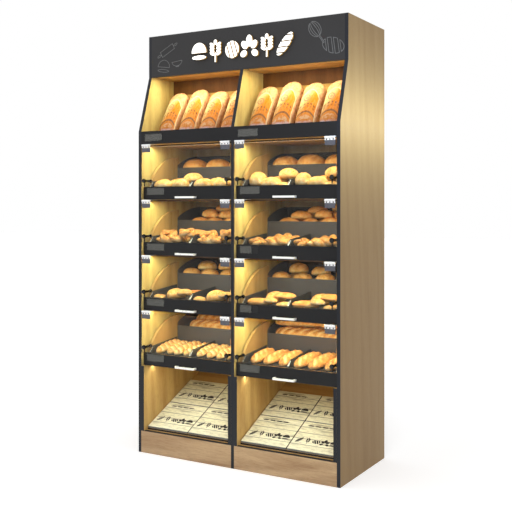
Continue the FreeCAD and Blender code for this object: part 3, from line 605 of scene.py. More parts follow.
# %% Turned shapes and pieces
def add_turned(bm, centre, direction, profile, steps, finish):
    """A turned shape from (distance along the direction, radius) pairs, closed at both ends."""
    turn = Vector(direction).normalized().to_track_quat("Z", "Y").to_matrix().to_4x4()
    line = [bm.verts.new((radius, 0, distance)) for distance, radius in profile]
    edges = [bm.edges.new(pair) for pair in zip(line, line[1:])]
    spun = bmesh.ops.spin(bm, geom=line + edges, cent=(0, 0, 0), axis=(0, 0, 1), dvec=(0, 0, 0),
                          angle=2 * math.pi, steps=steps, use_merge=True, use_duplicate=False)
    verts = {item for item in spun["geom_last"] if isinstance(item, bmesh.types.BMVert)} | set(line)
    reached = set(verts)
    while verts:
        near = {edge.other_vert(vert) for vert in verts for edge in vert.link_edges} - reached
        reached |= near
        verts = near
    bmesh.ops.remove_doubles(bm, verts=list(reached), dist=1e-6)
    reached = [vert for vert in reached if vert.is_valid]
    faces = list({face for vert in reached for face in vert.link_faces})
    bmesh.ops.recalc_face_normals(bm, faces=faces)
    bmesh.ops.transform(bm, matrix=Matrix.Translation(Vector(centre)) @ turn, space=Matrix.Identity(4),
                        verts=reached)
    for face in faces:
        face.material_index = finish
        face.smooth = True


def join(bm, part, matrix):
    """Moves a part made on its own into a piece, and frees it."""
    bmesh.ops.transform(part, matrix=matrix, verts=part.verts)
    carrier = as_mesh("carrier", part)
    bm.from_mesh(carrier)
    bpy.data.meshes.remove(carrier)


def make_piece(name, bm, finishes, body, replaced=()):
    """Turns a bmesh into a named piece that rides on a body of the frame."""
    mesh = as_mesh(name, bm)
    for finish in finishes:
        mesh.materials.append(finish)
    piece = add_object(name, mesh)
    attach(piece, body)
    for node in replaced:
        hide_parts(node)


def ball_profile(radius, steps):
    """Half a circle from pole to pole, for a turned ball."""
    angles = [math.pi * step / steps - math.pi / 2 for step in range(steps + 1)]
    return [(radius * math.sin(angle), max(radius * math.cos(angle), 0.0)) for angle in angles]


print("Modelling helpers ready")

# %% [markdown]
# ## Hinges and knobs
# Each flap hangs on two nickel hinges. A fixed leaf with two outer knuckles is screwed under the
# board above, and the middle knuckle belongs to a leaf that clamps the flap. Low on the flap two
# black ball knobs are screwed to rods, and a second ball behind the sheet stops it on the cheek.
# A slim black strip runs from each knob to the lower edge, where the sheet meets the drawer.
# The CAD nodes are facetted for lightness, so round ones stand in for them here.

# %% Sizes of the fittings
HINGE_INSET = 0.0065
HINGE_WIDTH = 0.056
KNUCKLE_RADIUS = 0.0055
KNUCKLE_GAP = 0.0006
PIN_Y = FRONT - 0.0035
LEAF = 0.002
FIXED_LEAF_BACK = FRONT + 0.062
FIXED_SCREW_Y = FRONT + 0.04
FIXED_SCREW_RADIUS = 0.0032
CLAMP_DROP = 0.020
CLAMP_PROUD = 0.0006
CLAMP_SCREW_RADIUS = 0.0035
LEAF_DROP = 0.044
LEAF_SCREW_DROP = 0.033
LEAF_SCREW_RADIUS = 0.0030
KNOB_INSET = 0.023
KNOB_RADIUS = 0.0122
BUMPER_RADIUS = 0.0095
KNOB_STANDOFF = 0.0055
COLLAR_RADIUS = 0.0056
COLLAR_LENGTH = 0.0012
WASHER_RADIUS = 0.0075
ROD_RADIUS = 0.0062
ROD_IN_BUMPER = 0.006
KNOB_HEIGHT = 0.102
FLAP_FACE_Y = PIN_Y + LEAF
FLAP_SHEET = 0.004
FLAP_FOOT = 0.0725
STRIP_HALF = 0.0035
BUMPER_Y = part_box("flap_fittings_left_1")[1].y - BUMPER_RADIUS
print("Bumper behind the flap at y", round(BUMPER_Y, 4))


# %% Knuckles and screws
def hinge_starts(bay):
    """X where the two hinges of a bay's flap begin."""
    low, high = WALLS[bay]
    return (low + HINGE_INSET, high - HINGE_INSET - HINGE_WIDTH)


def knuckle_profile(length):
    """A knuckle with a rounded rim at each end."""
    side = KNUCKLE_RADIUS
    rim = side * 0.22
    corner = rim * 0.3
    return [(0, 0), (0, side - rim), (corner, side - corner), (rim, side), (length - rim, side),
            (length - corner, side - corner), (length, side - rim), (length, 0)]


def add_screw(bm, centre, direction, radius, finish):
    """A pan-head screw with a recess."""
    head = [(0, 1), (0.35, 0.92), (0.55, 0.6), (0.58, 0.34), (0.2, 0.26), (0.2, 0.0)]
    profile = [(0, 0)] + [(radius * rise, radius * reach) for rise, reach in head]
    add_turned(bm, centre, direction, profile, 12, finish)


print("Hinges of the left bay start at x", [round(x, 4) for x in hinge_starts("left")])


# %% Hinge leaves
def fixed_leaves(bay, tier):
    """The leaves under the board, their outer knuckles and the pin with its capped ends."""
    bm = bmesh.new()
    ceiling = FLOOR[tier] + PITCH
    third = HINGE_WIDTH / 3
    for start in hinge_starts(bay):
        add_block(bm, (start, PIN_Y + 2 * KNUCKLE_RADIUS, ceiling - LEAF),
                  (start + HINGE_WIDTH, FIXED_LEAF_BACK, ceiling), 0.0004, 0)
        for offset in (0, 2 * third):
            add_block(bm, (start + offset + KNUCKLE_GAP, PIN_Y, ceiling - LEAF),
                      (start + offset + third - KNUCKLE_GAP, FIXED_LEAF_BACK - LEAF, ceiling), 0.0003, 0)
            add_turned(bm, (start + offset, PIN_Y, ceiling - KNUCKLE_RADIUS), (1, 0, 0),
                       knuckle_profile(third), 24, 0)
        for share in (0.25, 0.75):
            add_screw(bm, (start + HINGE_WIDTH * share, FIXED_SCREW_Y, ceiling - LEAF), (0, 0, -1),
                      FIXED_SCREW_RADIUS, 1)
    make_piece(f"hinge_leaves_{bay}_{tier}", bm, [nickel, galvanised], "cabinet",
               ["hinge_fixed_leaves"])


def flap_leaves(bay, tier):
    """The middle knuckles and the clamps on the flap: a bright bar over a grey plate."""
    bm = bmesh.new()
    ceiling = FLOOR[tier] + PITCH
    pin_z = ceiling - KNUCKLE_RADIUS
    third = HINGE_WIDTH / 3
    length = third - 2 * KNUCKLE_GAP
    top = ceiling - 2 * KNUCKLE_RADIUS - KNUCKLE_GAP
    bar_foot = ceiling - CLAMP_DROP
    back = PIN_Y + LEAF
    for start in hinge_starts(bay):
        end = start + HINGE_WIDTH
        middle = start + third + KNUCKLE_GAP
        add_turned(bm, (middle, PIN_Y, pin_z), (1, 0, 0), knuckle_profile(length), 24, 0)
        add_block(bm, (middle, PIN_Y, top - LEAF), (middle + length, back, pin_z), 0.0003, 0)
        add_block(bm, (start, PIN_Y - CLAMP_PROUD, bar_foot), (end, back, top), 0.0008, 0, 3)
        add_block(bm, (start + 0.0005, PIN_Y, ceiling - LEAF_DROP), (end - 0.0005, back, bar_foot - 0.0004),
                  0.0007, 1, 3)
        for share in (0.25, 0.75):
            add_screw(bm, (start + HINGE_WIDTH * share, PIN_Y, ceiling - LEAF_SCREW_DROP), (0, -1, 0),
                      LEAF_SCREW_RADIUS, 1)
        for share in (0.18, 0.5, 0.82):
            add_screw(bm, (start + HINGE_WIDTH * share, PIN_Y - 0.0004, (top + bar_foot) / 2), (0, -1, 0),
                      CLAMP_SCREW_RADIUS, 2)
    make_piece(f"flap_hinges_{bay}_{tier}", bm, [nickel, leaf_grey, black_gloss], f"flap_{bay}_{tier}",
               [f"flap_fittings_{bay}_{tier}"])


print("A hinge is", HINGE_WIDTH, "wide and has a knuckle of", round(HINGE_WIDTH / 3, 4))


# %% Knobs, and the fittings of every flap
def flap_knobs(bay, tier):
    """Two ball knobs on the flap, each with a rod and a bumper ball behind and a slim black strip below."""
    bm = bmesh.new()
    z = FLOOR[tier] + KNOB_HEIGHT
    low, high = WALLS[bay]
    back = FLAP_FACE_Y + FLAP_SHEET
    rod = BUMPER_Y - back - ROD_IN_BUMPER
    ball = [pair for pair in ball_profile(KNOB_RADIUS, 18) if pair[0] < KNOB_STANDOFF - 0.0015]
    collar = [(KNOB_STANDOFF - COLLAR_LENGTH, COLLAR_RADIUS), (KNOB_STANDOFF, COLLAR_RADIUS),
              (KNOB_STANDOFF, 0.0)]
    rod_profile = [(0, 0), (0, WASHER_RADIUS), (0.0012, WASHER_RADIUS), (0.0014, ROD_RADIUS),
                   (rod, ROD_RADIUS), (rod, 0)]
    for x in (low + KNOB_INSET, high - KNOB_INSET):
        add_turned(bm, (x, FLAP_FACE_Y - KNOB_STANDOFF, z), (0, 1, 0), ball + collar, 24, 0)
        add_turned(bm, (x, back, z), (0, 1, 0), rod_profile, 16, 0)
        add_turned(bm, (x, BUMPER_Y, z), (0, 1, 0), ball_profile(BUMPER_RADIUS, 14), 24, 0)
        add_block(bm, (x - STRIP_HALF, FLAP_FACE_Y - 0.0022, FLOOR[tier] + FLAP_FOOT),
                  (x + STRIP_HALF, FLAP_FACE_Y - 0.0001, z), 0.0008, 0)
    make_piece(f"flap_knobs_{bay}_{tier}", bm, [black_gloss], f"flap_{bay}_{tier}",
               [f"flap_fittings_{bay}_{tier}"])


for bay in BAYS:
    for tier in TIERS:
        fixed_leaves(bay, tier)
        flap_leaves(bay, tier)
        flap_knobs(bay, tier)
print("Hinge and knob pieces:", 3 * len(BAYS) * len(TIERS))

# %% [markdown]
# ## Label holders
# Every drawer front, and the rail at the left end of each bay, carries a clear pocket for a price
# card. A pocket is a thin folded sheet with a lip above and below; the grey card inside is bare. The
# drawers of two tiers on the right have a narrower pocket with a black patch beside it.

# %% Label holders and cards
HOLDER_WIDTH = 0.115
HOLDER_HEIGHT = 0.038
HOLDER_INSET = 0.025
HOLDER_RISE = 0.026
RAIL_HOLDER_RISE = 0.016
NARROW_HOLDER = (0.068, 0.036)
HOLDERS = {("right", 3): NARROW_HOLDER, ("right", 2): NARROW_HOLDER}
PATCH_GAP = 0.005
Layer = namedtuple("Layer", "inset front back foot top easing finish steps")
CARD = Layer(0.002, 0.0012, 0.0002, 0.0015, HOLDER_HEIGHT - 0.0015, 0.0002, 1, 2)
POCKET = Layer(0.0, 0.0026, 0.0018, 0.0, HOLDER_HEIGHT, 0.0003, 0, 2)
UPPER_LIP = Layer(0.0, 0.0030, 0.0, HOLDER_HEIGHT - 0.0022, HOLDER_HEIGHT, 0.0005, 0, 3)
LOWER_LIP = Layer(0.0, 0.0036, 0.0, 0.0, 0.0024, 0.0006, 0, 3)
PATCH = Layer(0.0, 0.0012, 0.0, 0.0, HOLDER_HEIGHT, 0.0004, 2, 2)
pocket = mottled("pocket_plastic", paint(104, 104, 100), 0.12, 0.22, 60.0, 0.1, 0.02, Alpha=0.3)
card_paper = mottled("card_paper", paint(82, 81, 76), 0.7, 0.85, 500.0, 0.15, 0.1)


def add_layer(bm, layer, x, width, face_y, z):
    """One layer of a label holder, measured from the face that it is stuck to."""
    add_block(bm, (x + layer.inset, face_y - layer.front, z + layer.foot),
              (x + width - layer.inset, face_y - layer.back, z + layer.top), layer.easing, layer.finish,
              layer.steps)


def label_holder(name, x, face_y, z, body, width=HOLDER_WIDTH, patch=0.0):
    """A card in a folded pocket, on a face that looks forward."""
    bm = bmesh.new()
    for layer in (CARD, POCKET, UPPER_LIP, LOWER_LIP):
        add_layer(bm, layer, x, width, face_y, z)
    if patch > 0:
        add_layer(bm, PATCH, x + width + PATCH_GAP, patch, face_y, z)
    make_piece(name, bm, [pocket, card_paper, black_gloss], body)


for bay in BAYS:
    x = WALLS[bay][0] + HOLDER_INSET
    for tier in TIERS:
        face_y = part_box(f"crumb_drawer_{bay}_{tier}")[0].y
        label_holder(f"label_holder_{bay}_{tier}", x, face_y, FLOOR[tier] + HOLDER_RISE,
                     f"drawer_{bay}_{tier}", *HOLDERS.get((bay, tier), ()))
    label_holder(f"label_holder_{bay}_rail", x, RAIL_LOW.y, RAIL_LOW.z + RAIL_HOLDER_RISE, "cabinet")
print("Label holders:", len(BAYS) * (len(TIERS) + 1))

# %% [markdown]
# ## Bread
# A baker shapes dough in a few ways, so each kind of bread is modelled once, lying along X with its
# underside at z = 0. A loaf starts as a sphere that is drawn out, flattened below and made a little
# uneven. Its scores open in the oven into pale furrows with a raised, darker lip. A knot or a braid
# is made of ropes of dough, which are curves with a thickness. Every vertex carries how far it is
# baked, which the crust finish turns into colour.


# %% Baked crust
FLOUR_COLOUR = (0.90, 0.86, 0.74, 1.0)
SEED_COLOUR = (0.88, 0.74, 0.46, 1.0)


def baked_crust():
    tree, given, result = start_group(
        "Baked crust",
        [("Vector", "Vector", None), ("Bake", "Float", 0.5), ("Pale", "Color", (1, 1, 1, 1)),
         ("Gold", "Color", (1, 1, 1, 1)), ("Brown", "Color", (1, 1, 1, 1)), ("Flour", "Float", 0.0),
         ("Seeds", "Float", 0.0)],
        [("Color", "Color"), ("Roughness", "Float"), ("Height", "Float")])
    where = given.outputs["Vector"]
    patches = noise_value(tree, where, 34.0, 5.0, Roughness=0.6)
    blisters = noise_value(tree, where, 260.0, 3.0)
    uneven = calculate(tree, "ADD", spread(tree, patches, 0.3, 0.7, 0.0, 0.56),
                       spread(tree, blisters, 0.3, 0.7, 0.0, 0.18))
    baked = calculate(tree, "SUBTRACT", calculate_free(tree, "ADD", given.outputs["Bake"], uneven), 0.34)
    colour = blend_colours(tree, spread(tree, baked, 0.05, 0.5), given.outputs["Pale"], given.outputs["Gold"])
    colour = blend_colours(tree, spread(tree, baked, 0.5, 1.0), colour, given.outputs["Brown"])
    dust = noise_value(tree, where, 75.0, 6.0, Roughness=0.7)
    dusted = multiply(tree, spread(tree, dust, 0.5, 0.66), given.outputs["Flour"])
    colour = blend_colours(tree, dusted, colour, FLOUR_COLOUR)
    grains = put(tree, "ShaderNodeTexVoronoi", {"Vector": where, "Scale": 190.0}).outputs["Distance"]
    seed = multiply(tree, spread(tree, grains, 0.36, 0.28), given.outputs["Seeds"])
    seed = multiply(tree, seed, spread(tree, given.outputs["Bake"], 0.3, 0.5))
    colour = blend_colours(tree, seed, colour, SEED_COLOUR)
    rough = spread(tree, baked, 0.0, 1.0, 0.72, 0.42)
    relief = calculate(tree, "ADD", multiply(tree, blisters, 0.3), multiply(tree, patches, 0.3))
    relief = calculate(tree, "ADD", relief, multiply(tree, seed, 0.4))
    put_out(tree, result, Color=colour, Roughness=rough, Height=relief)
    return tree


BAKED_CRUST = baked_crust()


def crust(name, pale, gold, brown, flour, seeds=0.0):
    """A crust that reads how far each vertex is baked."""
    finish, tree, shader = new_finish(name, gold, 0.55, Specular_IOR_Level=0.35)
    bake = attribute(tree, "bake")
    made = use_group(tree, BAKED_CRUST, {"Vector": place(tree), "Bake": bake, "Pale": pale, "Gold": gold,
                                         "Brown": brown, "Flour": flour, "Seeds": seeds})
    wire_group(tree, shader, made, 0.35, 0.003)
    return finish


CRUSTS = [crust("crust_pale", paint(250, 226, 172), paint(230, 178, 102), paint(178, 106, 50), 0.3),
          crust("crust_golden", paint(248, 214, 150), paint(228, 158, 84), paint(170, 96, 42), 0.12),
          crust("crust_glazed", paint(250, 224, 168), paint(220, 154, 80), paint(116, 62, 28), 0.0, 0.5),
          crust("crust_seeded", paint(246, 216, 152), paint(226, 164, 84), paint(166, 98, 40), 0.0, 1.0)]
PALE_CRUST, GOLDEN_CRUST, GLAZED_CRUST, SEEDED_CRUST = range(4)
print("Crusts:", [finish.name for finish in CRUSTS])


# %% Loaves with scores
BELLY = 0.32
CROWN = 0.68
LUMPS = 0.05
BAKED_FOOT = 0.10
BAKED_RISE = 0.62
BAKED_ENDS = 0.10
FURROW_FADE = 0.8
FURROW_PALER = 0.35
LIP_DARKER = 0.45
LIP_AWAY = 1.5
LIP_WIDTH = 0.7
LIP_RISE = 0.55


def score(x, y, cuts):
    """How far the scores lower a point of the crust, how open they are there, and their lip."""
    drop, opened, lip = 0.0, 0.0, 0.0
    for centre_x, centre_y, angle, reach, width, depth in cuts:
        turn = math.radians(angle)
        along = (x - centre_x) * math.cos(turn) + (y - centre_y) * math.sin(turn)
        beside = (y - centre_y) * math.cos(turn) - (x - centre_x) * math.sin(turn)
        fade = max(1 - (2 * along / reach) ** 2, 0.0) ** 0.5
        furrow = math.exp(-(beside / width) ** 2) * fade
        edge = math.exp(-((beside - LIP_AWAY * width) / (LIP_WIDTH * width)) ** 2) * fade
        drop += depth * (furrow - LIP_RISE * edge)
        opened = max(opened, furrow)
        lip = max(lip, edge)
    return drop, opened, lip


def set_crust(bm, crust_kind):
    """Gives a whole bread its crust and a smooth surface."""
    for face in bm.faces:
        face.smooth = True
        face.material_index = crust_kind


def dough(name, crust_kind, length, width, height, fullness, rings, around, cuts=()):
    """A baked loaf of any kind as a template mesh."""
    bm = bmesh.new()
    sideways = Matrix.Rotation(math.radians(90), 4, "Y")
    bmesh.ops.create_uvsphere(bm, u_segments=around, v_segments=rings, radius=1.0, matrix=sideways)
    bake = bm.verts.layers.float.new("bake")
    offset = Vector((length, width, height)) * 61.7
    for vert in bm.verts:
        along, across, up = vert.co
        about = math.hypot(across, up) or 1.0
        across, up = across / about, up / about
        girth = max(1 - abs(along) ** fullness, 0.0) ** 0.5
        bulge = 1 + LUMPS * noise.noise(Vector((along * 2.2 * length / width, across, up)) * 1.4 + offset)
        x, y = along * length / 2, across * girth * bulge * width / 2
        share = CROWN * up * girth * bulge if up > 0 else BELLY * up * girth ** 0.4
        tone = BAKED_FOOT + BAKED_RISE * (BELLY + share) + BAKED_ENDS * abs(along) ** 3
        drop, opened, lip = score(x, y, cuts) if up > 0.02 else (0.0, 0.0, 0.0)
        vert.co = (x, y, height * (BELLY + share) - drop)
        vert[bake] = min(tone * (1 - FURROW_FADE * opened) - FURROW_PALER * opened + LIP_DARKER * lip, 1.0)
    set_crust(bm, crust_kind)
    return as_mesh(name, bm)


def slanted_scores(count, length, angle, reach, width, depth):
    """Equal scores one behind the other along a loaf."""
    first = -length * (count - 1) / (2 * count)
    return [(first + length * number / count, 0.0, angle, reach, width, depth) for number in range(count)]


print("Helpers for loaves ready")


# %% Ropes of dough
FLATTENED = 0.004
FLAT_HEIGHT = 0.002
ROPE_LUMPS = 0.06


def strands(name, paths, closed, height):
    """A knot or a braid: ropes of dough along paths of (point, radius), as a template mesh."""
    line = bpy.data.curves.new(name, "CURVE")
    line.dimensions = "3D"
    line.bevel_depth = 1.0
    line.bevel_resolution = 4
    line.resolution_u = 5
    line.use_fill_caps = True
    for path in paths:
        spline = line.splines.new("NURBS")
        spline.points.add(len(path) - 1)
        for point, (centre, radius) in zip(spline.points, path):
            point.co = (*centre, 1.0)
            point.radius = radius
        spline.use_cyclic_u = closed
        spline.use_endpoint_u = not closed
        spline.order_u = 4
    holder = bpy.data.objects.new(name, line)
    mesh = bpy.data.meshes.new_from_object(holder)
    bpy.data.objects.remove(holder)
    bpy.data.curves.remove(line)
    bm = bmesh.new()
    bm.from_mesh(mesh)
    bmesh.ops.remove_doubles(bm, verts=bm.verts, dist=1e-5)
    floor_z = min(vert.co.z for vert in bm.verts)
    bake = bm.verts.layers.float.new("bake")
    for vert in bm.verts:
        vert.co.z = (vert.co.z - floor_z) if vert.co.z > floor_z + FLATTENED else FLAT_HEIGHT
        vert.co *= 1 + ROPE_LUMPS * noise.noise(vert.co * 45)
        vert[bake] = min(max(0.05 + 0.75 * vert.co.z / height, 0.0), 1.0)
    set_crust(bm, GLAZED_CRUST)
    bm.to_mesh(mesh)
    bm.free()
    return mesh


def knot(name, size, thickness):
    """A rope of dough tied once and closed: its strand passes over and under itself."""
    path = []
    for step in range(18):
        angle = 2 * math.pi * step / 18
        reach = size * (0.29 + 0.17 * math.cos(3 * angle))
        path.append(((reach * math.cos(2 * angle), reach * math.sin(2 * angle) * 0.8,
                      thickness * 0.75 * math.sin(3 * angle)), thickness))
    return strands(name, [path], True, thickness * 3.2)


def braid(name, length, thickness):
    """Two ropes of dough twisted round each other, thinner towards both ends."""
    paths = []
    for start in (0, math.pi):
        path = []
        for step in range(15):
            share = step / 14
            turn = start + share * 2.5 * math.pi
            swell = 0.45 + 0.55 * math.sin(math.pi * share)
            path.append((((share - 0.5) * length, thickness * swell * math.cos(turn),
                          thickness * 0.6 * swell * math.sin(turn)), thickness * swell))
        paths.append(path)
    return strands(name, paths, False, thickness * 3.0)


print("Helpers for ropes ready")

# %% Kinds of bread
BREAD = {
    "roll": dough("roll", PALE_CRUST, 0.108, 0.084, 0.050, 2.3, 28, 20, [(0, 0, 0, 0.10, 0.007, 0.007)]),
    "ball": dough("ball", PALE_CRUST, 0.092, 0.088, 0.074, 2.3, 26, 24),
    "dome": dough("dome", GOLDEN_CRUST, 0.152, 0.146, 0.080, 2.3, 34, 30,
                  slanted_scores(3, 0.10, 80, 0.10, 0.005, 0.003)),
    "seeded": dough("seeded", SEEDED_CRUST, 0.106, 0.098, 0.056, 2.3, 26, 24),
    "small": dough("small", PALE_CRUST, 0.080, 0.052, 0.026, 2.4, 22, 14),
    "slipper": dough("slipper", GOLDEN_CRUST, 0.135, 0.058, 0.032, 3.0, 30, 16),
    "batard": dough("batard", GOLDEN_CRUST, 0.120, 0.062, 0.050, 1.7, 34, 18,
                    [(0, 0, 4, 0.095, 0.006, 0.008)]),
    "stick": dough("stick", GOLDEN_CRUST, 0.245, 0.074, 0.048, 3.2, 66, 20,
                   slanted_scores(4, 0.21, 24, 0.085, 0.007, 0.006)),
    "crescent": dough("crescent", PALE_CRUST, 0.235, 0.060, 0.042, 3.0, 60, 18,
                      slanted_scores(5, 0.20, 62, 0.066, 0.008, 0.008)),
    "loaf": dough("loaf", GOLDEN_CRUST, 0.475, 0.098, 0.060, 7.0, 110, 26,
                  slanted_scores(8, 0.44, 40, 0.150, 0.009, 0.009)),
    "knot": knot("knot", 0.096, 0.0135),
    "braid": braid("braid", 0.150, 0.0175),
}
print("Bread:", {name: len(mesh.polygons) for name, mesh in BREAD.items()})

# %% [markdown]
# ## Filling the trays
# Bread is tipped into the trays, so each piece comes to rest on the sheet or on the bread below it.
# A piece is held over its place, a ray goes straight down from each of its lower vertices, and the
# shortest of them says how far it may fall. Only its outer rim may press into a neighbour, as soft
# crust does. The front tray rises towards the back, and its divider makes two compartments; the
# rear step is level.

# %% Rooms that hold bread
Room = namedtuple("Room", "x y low_z slope")
TRAY_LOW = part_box("bread_trays")[0]
STEP_LOW, STEP_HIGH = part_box("rear_steps")
TRAY_SHEET = 0.0015
TRAY_INSET = 0.024 + TRAY_SHEET
TRAY_SLOPE = 5.0
TRAY_FRONT_GAP = 0.004
TRAY_REAR_GAP = 0.002
STEP_SHELF = 0.157
STEP_GAP = 0.001


def tray_rooms(bay, tier):
    """The two compartments of a front tray."""
    low, high = WALLS[bay]
    seat = TRAY_LOW.z + TRAY_SHEET + (tier - 1) * PITCH
    depth = (TRAY_LOW.y + TRAY_FRONT_GAP, STEP_LOW.y - TRAY_REAR_GAP)
    return [Room((low + TRAY_INSET, CENTRE[bay] - TRAY_SHEET), depth, seat, TRAY_SLOPE),
            Room((CENTRE[bay] + TRAY_SHEET, high - TRAY_INSET), depth, seat, TRAY_SLOPE)]


def step_room(bay, tier):
    """The rear step of a tier."""
    low, high = WALLS[bay]
    depth = (STEP_LOW.y + TRAY_SHEET + STEP_GAP, STEP_HIGH.y - TRAY_SHEET - STEP_GAP)
    return Room((low + TRAY_INSET, high - TRAY_INSET), depth, FLOOR[tier] + STEP_SHELF, 0.0)


widths = [round(room.x[1] - room.x[0], 3) for room in tray_rooms("left", 1)]
print("Widths of a tray's rooms:", widths)

# %% Setting bread down
HOLD_HEIGHT = 0.4
SOFT_TOUCH = 0.0012
SQUEEZED_RIM = 0.80
SIZES = (0.94, 1.05)
STRAY = 7
DOWN = Vector((0, 0, -1))
chance = random.Random(11)


def keep_within(values, low, high):
    """How far a range of values must move to lie between two limits."""
    return max(low - min(values), 0.0) + min(high - max(values), 0.0)


def set_down(bm, kind, room, across, back, turn=0.0, pitch=0.0):
    """Lowers a copy of a kind of bread into a room, at shares of its width and depth."""
    start = len(bm.verts)
    heap = BVHTree.FromBMesh(bm) if start else None
    bm.from_mesh(BREAD[kind])
    bm.verts.ensure_lookup_table()
    fresh = bm.verts[start:]
    size = chance.uniform(*SIZES)
    turned = (Matrix.Rotation(math.radians(room.slope + pitch), 4, "X")
              @ Matrix.Rotation(math.radians(turn + chance.uniform(-STRAY, STRAY)), 4, "Z")
              @ Matrix.Scale(size, 4))
    held = Vector((room.x[0] + across * (room.x[1] - room.x[0]),
                   room.y[0] + back * (room.y[1] - room.y[0]), room.low_z + HOLD_HEIGHT))
    bmesh.ops.transform(bm, matrix=Matrix.Translation(held) @ turned, verts=fresh)
    side = keep_within([vert.co.x for vert in fresh], *room.x)
    depth = keep_within([vert.co.y for vert in fresh], *room.y)
    bmesh.ops.translate(bm, vec=(side, depth, 0), verts=fresh)
    rise = math.tan(math.radians(room.slope))
    fall = HOLD_HEIGHT
    middle = sum((vert.co for vert in fresh), Vector()) / len(fresh)
    reach = [max(abs(vert.co[axis] - middle[axis]) for vert in fresh) for axis in (0, 1)]
    for vert in fresh:
        rim = math.hypot((vert.co.x - middle.x) / reach[0], (vert.co.y - middle.y) / reach[1])
        if vert.co.z < middle.z and rim < SQUEEZED_RIM:
            support = room.low_z + (vert.co.y - room.y[0]) * rise
            below = heap.ray_cast(vert.co, DOWN)[0] if heap else None
            if below is not None:
                support = max(support, below.z - SOFT_TOUCH)
            fall = min(fall, vert.co.z - support)
    bmesh.ops.translate(bm, vec=(0, 0, -fall), verts=fresh)


def fill(name, rooms, orders, replaced):
    """Fills rooms with the same orders, makes one piece of them and counts its loaves."""
    bm = bmesh.new()
    for room in rooms:
        loose = bmesh.new()
        for kind, *spots in orders:
            for spot in spots:
                set_down(loose, kind, room, *spot)
        join(bm, loose, Matrix.Identity(4))
    make_piece(name, bm, CRUSTS, "cabinet", [replaced])
    return len(rooms) * sum(len(spots) for kind, *spots in orders)


print("Each loaf is held", HOLD_HEIGHT, "above its seat and then let down")

# %% Orders for the front trays and the rear steps
# An order is a kind of bread and its spots: shares of the room's width and depth, a turn and a pitch.
FRONT_ORDERS = {
    ("left", 4): [("roll", (0.22, 0.14, 6), (0.64, 0.20, -14), (0.82, 0.44, 20), (0.36, 0.48, -20))],
    ("right", 4): [("ball", (0.18, 0.30)), ("roll", (0.54, 0.16, 8)), ("small", (0.88, 0.10, -6)),
                   ("roll", (0.54, 0.52, 20)), ("seeded", (0.88, 0.42))],
    ("left", 3): [("braid", (0.40, 0.14, -8)), ("knot", (0.82, 0.20, 25), (0.50, 0.48, 50)),
                  ("slipper", (0.80, 0.58, 8)), ("knot", (0.16, 0.42, 10))],
    ("right", 3): [("knot", (0.18, 0.26, 80), (0.50, 0.40, 20)),
                   ("braid", (0.66, 0.10, 5), (0.60, 0.68, -8)), ("knot", (0.84, 0.42, 60))],
    ("left", 2): [("small", (0.16, 0.12, -6)), ("seeded", (0.50, 0.24, 30)), ("small", (0.76, 0.08, 50)),
                  ("slipper", (0.84, 0.64, 10))],
    ("right", 2): [("slipper", (0.26, 0.20, 8)), ("seeded", (0.46, 0.52, 20)),
                   ("slipper", (0.78, 0.36, -6)), ("small", (0.56, 0.07, -10), (0.86, 0.10, 20))],
    ("left", 1): [("crescent", (0.12, 0.50, 88), (0.37, 0.50, 92), (0.62, 0.50, 88), (0.88, 0.50, 91))],
    ("right", 1): [("stick", (0.18, 0.50, 90), (0.50, 0.50, 91), (0.82, 0.50, 89))],
}
REAR_ORDERS = {
    ("left", 4): [("dome", (0.14, 0.30), (0.44, 0.32), (0.74, 0.30))],
    ("right", 4): [("dome", (0.12, 0.30), (0.43, 0.30), (0.74, 0.32))],
    ("left", 3): [("batard", (0.24, 0.22, 50), (0.42, 0.22, 8), (0.66, 0.24, 20), (0.90, 0.22, 12),
                   (0.22, 0.76, 10), (0.48, 0.78, 12), (0.74, 0.76, -8), (0.34, 0.30, -20, 6),
                   (0.57, 0.34, 14, 4), (0.82, 0.30, 20), (0.34, 0.70, 12), (0.60, 0.72, -10),
                   (0.84, 0.70, 8), (0.48, 0.56, 25), (0.74, 0.58, -15))],
    ("right", 3): [("batard", (0.20, 0.22, 8), (0.44, 0.24, -20), (0.68, 0.22, 8), (0.92, 0.24, 30),
                    (0.24, 0.76, 12), (0.50, 0.76, -6), (0.76, 0.78, 8), (0.32, 0.30, 14),
                    (0.57, 0.32, -14), (0.82, 0.30, 18), (0.36, 0.72, 10), (0.62, 0.70, -8),
                    (0.88, 0.72, 14), (0.46, 0.56, 20), (0.72, 0.56, -20))],
    ("left", 2): [("seeded", (0.12, 0.20), (0.36, 0.18), (0.60, 0.20), (0.85, 0.18)),
                  ("roll", (0.20, 0.74), (0.50, 0.74), (0.80, 0.74), (0.24, 0.52, 20)),
                  ("seeded", (0.50, 0.54)), ("roll", (0.76, 0.52, -15))],
    ("right", 2): [("seeded", (0.11, 0.20), (0.36, 0.20), (0.61, 0.18), (0.86, 0.20)),
                   ("roll", (0.20, 0.74), (0.50, 0.74), (0.80, 0.74)), ("seeded", (0.24, 0.54, 20)),
                   ("roll", (0.50, 0.52, 12), (0.78, 0.54))],
    ("left", 1): [("loaf", (0.50, 0.20), (0.50, 0.72), (0.54, 0.52))],
    ("right", 1): [("loaf", (0.50, 0.20), (0.50, 0.72), (0.46, 0.52))],
}
loaves = 0
for (bay, tier), orders in FRONT_ORDERS.items():
    loaves += fill(f"bread_front_{bay}_{tier}", tray_rooms(bay, tier), orders, "front_bread")
for (bay, tier), orders in REAR_ORDERS.items():
    loaves += fill(f"bread_rear_{bay}_{tier}", [step_room(bay, tier)], orders, "rear_bread")
for mesh in BREAD.values():
    bpy.data.meshes.remove(mesh)
print("Loaves and rolls:", loaves)

